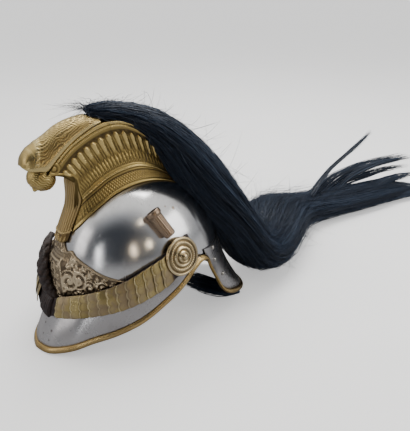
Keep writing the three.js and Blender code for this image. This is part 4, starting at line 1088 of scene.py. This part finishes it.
def socket_piece():
    """Plume tube: tapered, with fine reeds round it, a rolled mouth and an open bore."""
    foot = on_skull(94.0, 71.0, 9.7)
    axis = unit(on_skull(87.5, 99.0, 10.4) - foot)
    profile = [(0.01, 0), (6.0, 0), (6.6, 0.6), (7.2, 2), (7.8, 28), (8.4, 29.4), (9.5, 30.6),
               (9.6, 33.5), (9.2, 35.7), (8.6, 36), (7.4, 36), (7.0, 35.4), (5.6, 8), (0.01, 8)]
    radius, height, turn = lathe_rings(profile, 96, 46)
    outer = (np.arange(len(radius)) < np.argmax(height))[:, None]
    radius, height = radius[:, None] + 0 * turn, height[:, None] + 0 * turn
    reeds = np.abs(np.sin(9 * turn)) ** 0.6
    body = outer * smooth(height, 2, 3.5) * smooth(-height, -29, -27.5)
    radius = radius - 0.7 * (1 - reeds) * body
    relief = np.clip(np.where(body > 0.3, 0.15 + 0.6 * reeds, 0.6) * outer + 0.1, 0, 1)
    rings = place_on(radius, height, turn, foot, axis, [1, 0, 0])
    tube_piece("plume_tube", rings, BROWN_SOCKET, ["plume_socket"], relief)


def rivets_piece():
    """Domed rivets of the neck guard: a low cap on a narrow flange, six times."""
    verts, faces, count = [], [], 0
    profile = [(0.01, 0), (3.1, 0), (3.1, 0.35), (2.6, 0.5), (2.3, 1.3), (1.5, 2.0), (0.01, 2.2)]
    for place, share in [(15.1, 0.06), (15.0, 0.34), (16.2, 0.62)]:
        for side in (1, -1):
            around = lower_surface(np.array([place - 0.02, place, place + 0.02])[:, None],
                                   np.array([share - 0.02, share, share + 0.02])[None, :])
            out = grid_normal(around)[1, 1]
            out = out * np.sign((out * around[1, 1] * [1, 1, 0]).sum())
            radius, height, turn = lathe_rings(profile, 28, 16)
            ring = place_on(radius[:, None] + 0 * turn, height[:, None] + 0 * turn, turn,
                            around[1, 1] + out * 1.05, out, [0, 0, 1])
            sides, steps = ring.shape[1], ring.shape[0]
            order = np.arange(steps * sides).reshape(steps, sides).T.ravel()
            verts.append((ring * [side, 1, 1]).reshape(-1, 3))
            faces.append(order[grid_faces(sides, steps, 0, True)] + count)
            count += steps * sides
    verts = np.concatenate(verts)
    add_piece("neck_rivets", to_row(verts), faces, STEEL_RIVET,
              nodes_named("rivet_"), {"relief": np.full(len(verts), 0.5), "inside": np.zeros(len(verts))})


def bundle_piece():
    """A roll of loose leather beside the brow plate: a thick tube with creases wound round it."""
    place = np.linspace(0, len(BUNDLE) - 1, 150)
    row = curve(BUNDLE, place)
    line = on_skull(row[:, 0], row[:, 1], row[:, 2])
    run = unit(np.gradient(line, axis=0))
    out = unit(line * [1, 1, 0])
    across = unit(np.cross(run, out))
    out = np.cross(across, run)
    turn = np.linspace(0, 2 * np.pi, 56, endpoint=False)[None, :]
    wound = np.abs(np.sin(place[:, None] * 4.2 + turn + 0.6 * np.sin(turn * 2))) ** 0.6
    uneven = wave_noise(place[:, None] * 8, turn * 5, 9.0, 91)
    swell = row[:, 3:4] * (0.78 + 0.16 * wound + 0.22 * uneven)
    rings = (line[:, None] + across[:, None] * (swell * np.cos(turn))[..., None]
             + out[:, None] * (0.85 * swell * np.sin(turn))[..., None])
    tube_piece("loose_leather_roll", rings, LEATHER, (), wound)


def tie_piece():
    """The leather tie: a flat oval body with wound turns standing up round it."""
    turn = np.linspace(0, 2 * np.pi, 60, endpoint=False)[None, :]
    angle = np.linspace(TIE_HALF_ANGLE, -TIE_HALF_ANGLE, 110)[:, None]
    row = curve(CHIN_STRAP, STRAP_LAST)
    upper = on_skull(angle + 0 * turn, row[1] + 1 + 0 * angle, row[2])
    lower = on_skull(angle + 0 * turn, row[3] - 1 + 0 * angle, row[4])
    out = unit(vec(0, -1, 0.15))
    share = 0.5 + 0.5 * np.cos(turn + 0 * angle)
    turns = np.abs(np.sin(angle * 1.35 + 0.5 * np.sin(share * 3)))
    swell = 0.2 + 1.4 * turns + 0.7 * (wave_noise(angle * 3, turn * 4, 6.0, 77) - 0.5)
    rings = (upper + (lower - upper) * share[..., None]
             + out * (4 + (3.0 + swell) * np.sin(turn))[..., None])
    tube_piece("chin_wound_tie", rings, LEATHER, ["chin_tie"], turns)


def mane_frame(place):
    """Centre, both half sizes and both cross directions of the mane at places of its table."""
    row = curve(MANE, place)
    ahead, behind = curve(MANE, np.asarray(place) + 0.3), curve(MANE, np.asarray(place) - 0.3)
    along = unit((ahead - behind)[..., :3])
    across = unit(vec(along[..., 1], -along[..., 0], 0))
    over = np.cross(across, along)
    return row, across, over


def mane_core():
    """Body of the mane under the strands: an oval tube cut into uneven grooves round it."""
    place = np.linspace(0, 22, 200)
    row, across, over = mane_frame(place)
    turn = np.linspace(0, 2 * np.pi, 80, endpoint=False)[None, :]
    drift = turn + place[:, None] * 0.05
    grooves = 0.04 * np.sin(17 * drift + 2 * np.sin(place[:, None] * 0.7)) + 0.025 * np.sin(41 * drift)
    size = 0.88 * (1 + grooves) * (1 - 0.55 * smooth(place, 17, 21.5))[:, None]
    size = size * (1 + 0.12 * smooth(-place, -4, 0))[:, None]
    rings = (row[:, None, :3] + across[:, None] * (row[:, 3:4] * size * np.cos(turn))[..., None]
             + over[:, None] * (row[:, 4:5] * size * np.sin(turn))[..., None])
    flow = vec(turn * 0.04 + 0 * place[:, None], place[:, None] * 0.03 + 0 * turn, 0)
    # Painted shade and highlight: the tone is darker in the grooves and lighter on the ridges between them.
    tone = 0.35 + 5 * grooves
    tube_piece("mane_body", rings, HAIR_CORE, ["mane"], tilted=False,
               fields={"flow": flow, "tone": tone})


def strand_mesh(name, paths, radius, tone, material):
    """Hairs as closed three-sided tubes along their paths, each tapering to its tip."""
    count, steps = paths.shape[:2]
    run = unit(np.gradient(paths, axis=1))
    side = unit(np.cross(run, vec(0.31, 0.22, 0.92)))
    other = np.cross(run, side)
    turn = np.arange(3) * 2 * np.pi / 3
    thick = radius[:, None] * (1 - 0.75 * np.linspace(0, 1, steps) ** 3)[None, :]
    rings = (paths[:, :, None] + thick[..., None, None] * (
        side[:, :, None] * np.cos(turn)[:, None] + other[:, :, None] * np.sin(turn)[:, None]))
    verts = rings.reshape(-1, 3)
    base = (np.arange(count) * steps * 3)[:, None, None]
    i = np.arange(steps - 1)[None, :, None] * 3
    j = np.arange(3)[None, None, :]
    n = (j + 1) % 3
    quads = np.stack([base + i + j, base + i + n, base + i + 3 + n, base + i + 3 + j], -1).reshape(-1, 4)
    start = (np.arange(count) * steps * 3)[:, None]
    end = start + (steps - 1) * 3
    caps = np.concatenate([start + [[2, 1, 0]], end + [[0, 1, 2]]])
    flow = np.repeat(np.stack([np.repeat(np.arange(count) * 0.37, steps),
                               np.tile(np.arange(steps) * 0.02, count),
                               np.zeros(count * steps)], -1), 3, axis=0)
    add_piece(name, to_row(verts, False), [quads, caps], material, (),
              {"flow": flow, "tone": np.repeat(tone, steps * 3)}, merge=False)


def hair_paths(rng, count, steps, first, last, depth, spread, stray):
    """Hairs along the mane: each keeps to a lock's place on the oval, drifts and strays a little."""
    lock = rng.integers(0, HAIR_LOCKS, count)
    lock_turn = np.linspace(0, 2 * np.pi, HAIR_LOCKS, endpoint=False)[lock] + rng.normal(0, 0.02, count)
    phase = rng.uniform(0, 2 * np.pi, HAIR_LOCKS)[lock]
    pace = rng.uniform(0.35, 0.7, HAIR_LOCKS)[lock]
    lock_end = rng.uniform(0, 1, HAIR_LOCKS)[lock]
    start = rng.uniform(*first, count)
    own_end = rng.uniform(0, 1, count) ** 0.6
    end = last[0] + (last[1] - last[0]) * np.clip(0.45 * lock_end + 0.55 * own_end, 0, 1)
    t = np.linspace(0, 1, steps)[None, :]
    place = start[:, None] + (end - start)[:, None] * t
    row, across, over = mane_frame(place)
    rho = (depth[0] + (depth[1] - depth[0]) * rng.uniform(0, 1, count))[:, None]
    phase = phase[:, None]
    wander = 0.10 * np.sin(place * pace[:, None] + phase) + 0.06 * np.sin(place * 1.3 + 2 * phase)
    turn = lock_turn[:, None] + wander + place * 0.03
    x = row[..., 3] * rho * np.cos(turn)
    y = row[..., 4] * rho * np.sin(turn)
    off = rng.normal(0, 1, (2, count)) * spread
    pinch = 1 - 0.5 * smooth(place, end[:, None] - 4, end[:, None])
    wild = stray * rng.normal(0, 1, (3, count))
    sway = np.sin(np.pi * t * 0.5) ** 2 * t
    kink = np.sin(place * rng.uniform(0.8, 2.2, count)[:, None] + rng.uniform(0, 6, count)[:, None])
    x = x + off[0][:, None] * pinch + wild[0][:, None] * sway + 0.25 * wild[2][:, None] * kink * t
    y = y + off[1][:, None] * pinch * 0.5 + np.abs(wild[1])[:, None] * sway * 0.8
    points = row[..., :3] + across * x[..., None] + over * y[..., None]
    return points, lock


def limit(points):
    """Keeps hairs above the surface and within the object's own box and its small allowance."""
    low = np.array(BOX_LOW) * 1000 - SHIFT + [-2, 0, 0.25]
    high = np.array(BOX_HIGH) * 1000 - SHIFT + [2, 14, 4]
    return np.clip(points, low, high)


def mane_hair():
    """The mane's strands: four bundles, the loose locks, the stray hairs and the short fringe."""
    rng = np.random.default_rng(7)
    tones = rng.uniform(0, 1, 64)
    for k in range(HAIR_BUNDLES):
        points, lock = hair_paths(rng, HAIRS_PER_BUNDLE, 18, (0.0, 3.2), (15.5, 22.0), (0.88, 1.03), 2.2, 2.5)
        tone = np.clip(0.5 * tones[lock] + 0.7 * rng.uniform(0, 1, len(lock)) ** 2, 0, 1)
        strand_mesh(f"mane_hair_{k + 1}", limit(points), rng.uniform(0.3, 0.6, len(lock)), tone, HAIR)
    wisps = []
    for rows in FREE_LOCKS + TAIL_LOCKS:
        rows = np.array(rows, float)
        n = 120 if rows[0][1] < 200 else 76
        t = np.linspace(0, 1, 16)[None, :]
        at = curve(rows, t * (len(rows) - 1) * rng.uniform(0.8, 1.0, n)[:, None])
        a, r = rng.uniform(0, 2 * np.pi, n), np.sqrt(rng.uniform(0, 1, n))
        off = np.stack([1.4 * np.cos(a) * r, 0 * r, 0.75 * np.sin(a) * r], -1)
        bend = rng.normal(0, 2.0, (n, 3))[:, None] * (t ** 2)[..., None]
        wisps.append(at[..., :3] + off[:, None] * at[..., 3:4] + bend)
    wisps = np.concatenate(wisps)
    strand_mesh("mane_free_locks", limit(wisps), rng.uniform(0.35, 0.7, len(wisps)),
                rng.uniform(0, 1, len(wisps)), HAIR)
    points, lock = hair_paths(rng, STRAY_HAIRS, 14, (0.0, 15.0), (3.0, 22.0), (0.98, 1.06), 3.0, 16.0)
    strand_mesh("mane_stray_hair", limit(points), rng.uniform(0.16, 0.34, len(lock)),
                rng.uniform(0, 1, len(lock)), HAIR)
    start = np.where(rng.uniform(0, 1, FRINGE_HAIRS) < 0.10, 0.05, rng.uniform(0, 15, FRINGE_HAIRS))
    t = np.linspace(0, 1, 8)[None, :]
    row, across, over = mane_frame(start)
    turn = rng.uniform(-0.4, np.pi + 0.4, FRINGE_HAIRS)
    out = across * np.cos(turn)[:, None] + over * np.sin(turn)[:, None]
    foot = (row[:, :3] + across * (row[:, 3] * np.cos(turn))[:, None]
            + over * (row[:, 4] * np.sin(turn))[:, None])
    along = np.cross(across, over) * -1
    reach = rng.uniform(8, 38, FRINGE_HAIRS)[:, None]
    outward = rng.uniform(0.25, 1.1, FRINGE_HAIRS)[:, None]
    onward = np.where(start < 0.1, -1, rng.uniform(-0.3, 1, FRINGE_HAIRS))[:, None]
    aim = unit(out * outward + along * onward + rng.normal(0, 0.35, (FRINGE_HAIRS, 3)))
    bend = rng.normal(0, 0.4, (FRINGE_HAIRS, 3))
    fringe = (foot[:, None] + aim[:, None] * (reach * t)[..., None]
              + bend[:, None] * (reach * t ** 2)[..., None])
    strand_mesh("mane_fringe", limit(fringe), rng.uniform(0.12, 0.25, FRINGE_HAIRS),
                rng.uniform(0, 1, FRINGE_HAIRS), HAIR)


def studio():
    """Plain pale floor, a soft room with one dark side, soft lamps and the photograph's camera.

    The floor and the room are paler to the camera than to the light that the metal reflects.
    """
    size = FLOOR_HALF
    floor_mesh = bpy.data.meshes.new("floor")
    floor_mesh.from_pydata([(-size, -size, 0), (size, -size, 0), (size, size, 0), (-size, size, 0)],
                           [], [(0, 1, 2, 3)])
    floor = bpy.data.objects.new("floor", floor_mesh)
    bpy.context.scene.collection.objects.link(floor)
    material, net, shader = new_material("pale floor")
    mottle = net.noise(net.objects(), 6.0, 2.0)
    pale = net.ramp(mottle, [(0.3, (0.90, 0.90, 0.895)), (0.7, (0.93, 0.93, 0.925))])
    seen = net.add("LightPath").outputs["Is Camera Ray"]
    net.put(shader, "Base Color", net.mix(seen, (0.34, 0.345, 0.36, 1), pale))
    shader.inputs["Roughness"].default_value = 0.8
    shader.inputs["Emission Color"].default_value = (1, 1, 1, 1)
    net.put(shader, "Emission Strength", net.math("MULTIPLY", seen, 0.52))
    floor_mesh.materials.append(material)
    world = bpy.data.worlds.new("soft room")
    bpy.context.scene.world = world
    world.use_nodes = True
    net = Net(world.node_tree)
    direction = net.add("TexCoord").outputs["Generated"]
    parts = net.add("SeparateXYZ", i0=direction).outputs
    upward = net.span(parts[2], -0.1, 0.9, 0.42, 1.0)
    ahead = net.add("VectorMath", {"operation": "DOT_PRODUCT"}, i0=direction,
                    i1=(0.80, -0.58, 0.12)).outputs["Value"]
    dark = net.span(ahead, 0.32, 0.86, 1.0, 0.02)
    level = net.math("MULTIPLY", upward, dark)
    tint = net.ramp(level, [(0.0, (0.03, 0.035, 0.045)), (0.5, (0.42, 0.43, 0.45)), (1.0, (1.0, 0.99, 0.97))])
    plain = net.add("LightPath").outputs["Is Camera Ray"]
    back = world.node_tree.nodes["Background"]
    net.put(back, "Color", net.mix(plain, tint, (0.62, 0.62, 0.615, 1)))
    back.inputs["Strength"].default_value = 1.0

    def lamp(name, place, aim, width, height, power, colour):
        """A flat lamp at a place, turned towards its aim."""
        data = bpy.data.lights.new(name, "AREA")
        data.shape, data.size, data.size_y = "RECTANGLE", width, height
        data.energy, data.color = power, colour
        made = bpy.data.objects.new(name, data)
        made.location = place
        made.rotation_euler = (Vector(aim) - Vector(place)).to_track_quat("-Z", "Y").to_euler()
        bpy.context.scene.collection.objects.link(made)

    lamp("top light", (-0.35, 0.35, 1.7), (0.0, -0.1, 0.1), 1.1, 1.1, 24.0, (1.0, 0.99, 0.97))
    lamp("left light", (-0.1, -1.9, 0.65), (0.0, -0.35, 0.14), 0.60, 0.9, 2.3, (1.0, 0.96, 0.94))
    lamp("right light", (1.10, 0.75, 0.66), (0.08, -0.27, 0.15), 0.75, 0.75, 4.2, (1.0, 0.99, 0.97))
    lamp("window strip", (0.81, -1.72, 0.34), (0.07, -0.36, 0.13), 0.11, 0.62, 1.3, (0.96, 0.98, 1.0))
    lamp("upper bulb", (1.17, -0.26, 1.18), (0.07, -0.31, 0.16), 0.10, 0.10, 0.35, (1.0, 0.84, 0.6))
    lamp("right bulb", (1.54, -0.19, 0.52), (0.09, -0.31, 0.14), 0.09, 0.12, 0.40, (1.0, 0.84, 0.6))
    lamp("low bulb", (1.50, -0.69, 0.45), (0.08, -0.33, 0.13), 0.10, 0.26, 0.55, (1.0, 0.82, 0.6))

    data = bpy.data.cameras.new("camera")
    data.sensor_width, data.lens = SENSOR_WIDTH, CAMERA_LENS
    data.clip_end = 200.0
    camera = bpy.data.objects.new("camera", data)
    camera.location = CAMERA_PLACE
    camera.rotation_euler = CAMERA_TURN
    bpy.context.scene.collection.objects.link(camera)
    bpy.context.scene.camera = camera


TARNISH = tarnish_group()
SCRATCHES = scratches_group()
STEEL_SKULL = steel("polished steel", (0.76, 0.76, 0.76, 1), (0.60, 0.595, 0.59, 1), 0.175, 0.42, SKULL_MARKS)
STEEL_LOWER = steel("worn steel", (0.55, 0.535, 0.535, 1), (0.38, 0.36, 0.36, 1), 0.26, 0.78, VISOR_MARKS)
STEEL_RIVET = steel("rivet steel", (0.52, 0.50, 0.46, 1), (0.35, 0.33, 0.31, 1), 0.26, 0.5)
BRASS_EDGING = brass("satin edging brass", (0.09, 0.055, 0.025), (0.36, 0.235, 0.085),
                     (0.62, 0.44, 0.19), 0.36, 0.35, (0.22, 0.15, 0.07, 1))
BRASS_CREST = brass("stamped crest brass", (0.07, 0.044, 0.017), (0.47, 0.335, 0.115),
                    (0.80, 0.60, 0.24), 0.34, 0.45, (0.34, 0.235, 0.085, 1))
BRASS_STEM = brass("stem brass", (0.085, 0.052, 0.022), (0.31, 0.21, 0.088),
                   (0.60, 0.44, 0.20), 0.38, 0.35, (0.21, 0.14, 0.07, 1))
BRASS_HOOD = brass("pale hood brass", (0.16, 0.10, 0.04), (0.70, 0.52, 0.21),
                   (0.98, 0.82, 0.44), 0.32, 0.3, (0.58, 0.40, 0.19, 1))
BRONZE_PLATE = brass("dark brow brass", (0.060, 0.044, 0.030), (0.30, 0.225, 0.14),
                     (0.74, 0.60, 0.40), 0.31, 0.3, (0.20, 0.15, 0.10, 1))
BRASS_SCALE = brass("scale brass", (0.08, 0.05, 0.028), (0.48, 0.37, 0.155),
                    (0.88, 0.74, 0.40), 0.33, 0.72, (0.31, 0.235, 0.19, 1))
BRASS_ROSETTE = brass("rosette brass", (0.085, 0.058, 0.032), (0.38, 0.28, 0.145),
                      (0.74, 0.60, 0.36), 0.30, 0.45, (0.28, 0.21, 0.13, 1))
BROWN_SOCKET = brass("brown socket brass", (0.030, 0.019, 0.013), (0.22, 0.145, 0.095),
                     (0.52, 0.39, 0.28), 0.36, 0.4, (0.13, 0.08, 0.055, 1))
LEATHER = old_leather()
HAIR_CORE = horsehair("horsehair body", True)
HAIR = horsehair("horsehair strands", False)

skull_piece()
lower_plate_piece("visor_plate", -EDGING_END, EDGING_END, 150, STEEL_LOWER, "visor")
lower_plate_piece("neck_plate", NECK_START, 2 * BACK - NECK_START, 150, STEEL_LOWER,
                  "neck_guard")
edging_piece("visor_rim", -EDGING_END, EDGING_END, 200, "visor_edging")
edging_piece("neck_rim", EDGING_END + 0.03, 2 * BACK - EDGING_END - 0.03, 260, "neck_edging")
front_plate_piece()
crest_side_piece("crest_relief_left", 1, "crest_side_left")
crest_side_piece("crest_relief_right", -1, "crest_side_right")
crest_web_piece()
crest_strip_piece()
crest_cap_piece()
crest_stem_piece()
crest_head_piece()
for label, side in (("left", 1), ("right", -1)):
    strap_piece(f"leather_band_{label}", side, f"chin_strap_{label}")
    scales_piece(f"chin_scales_{label}", side, f"scale_{label}")
    rosette_piece(f"round_boss_{label}", side, f"rosette_{label}")
socket_piece()
rivets_piece()
tie_piece()
bundle_piece()
mane_core()
mane_hair()
studio()
bpy.context.view_layer.update()
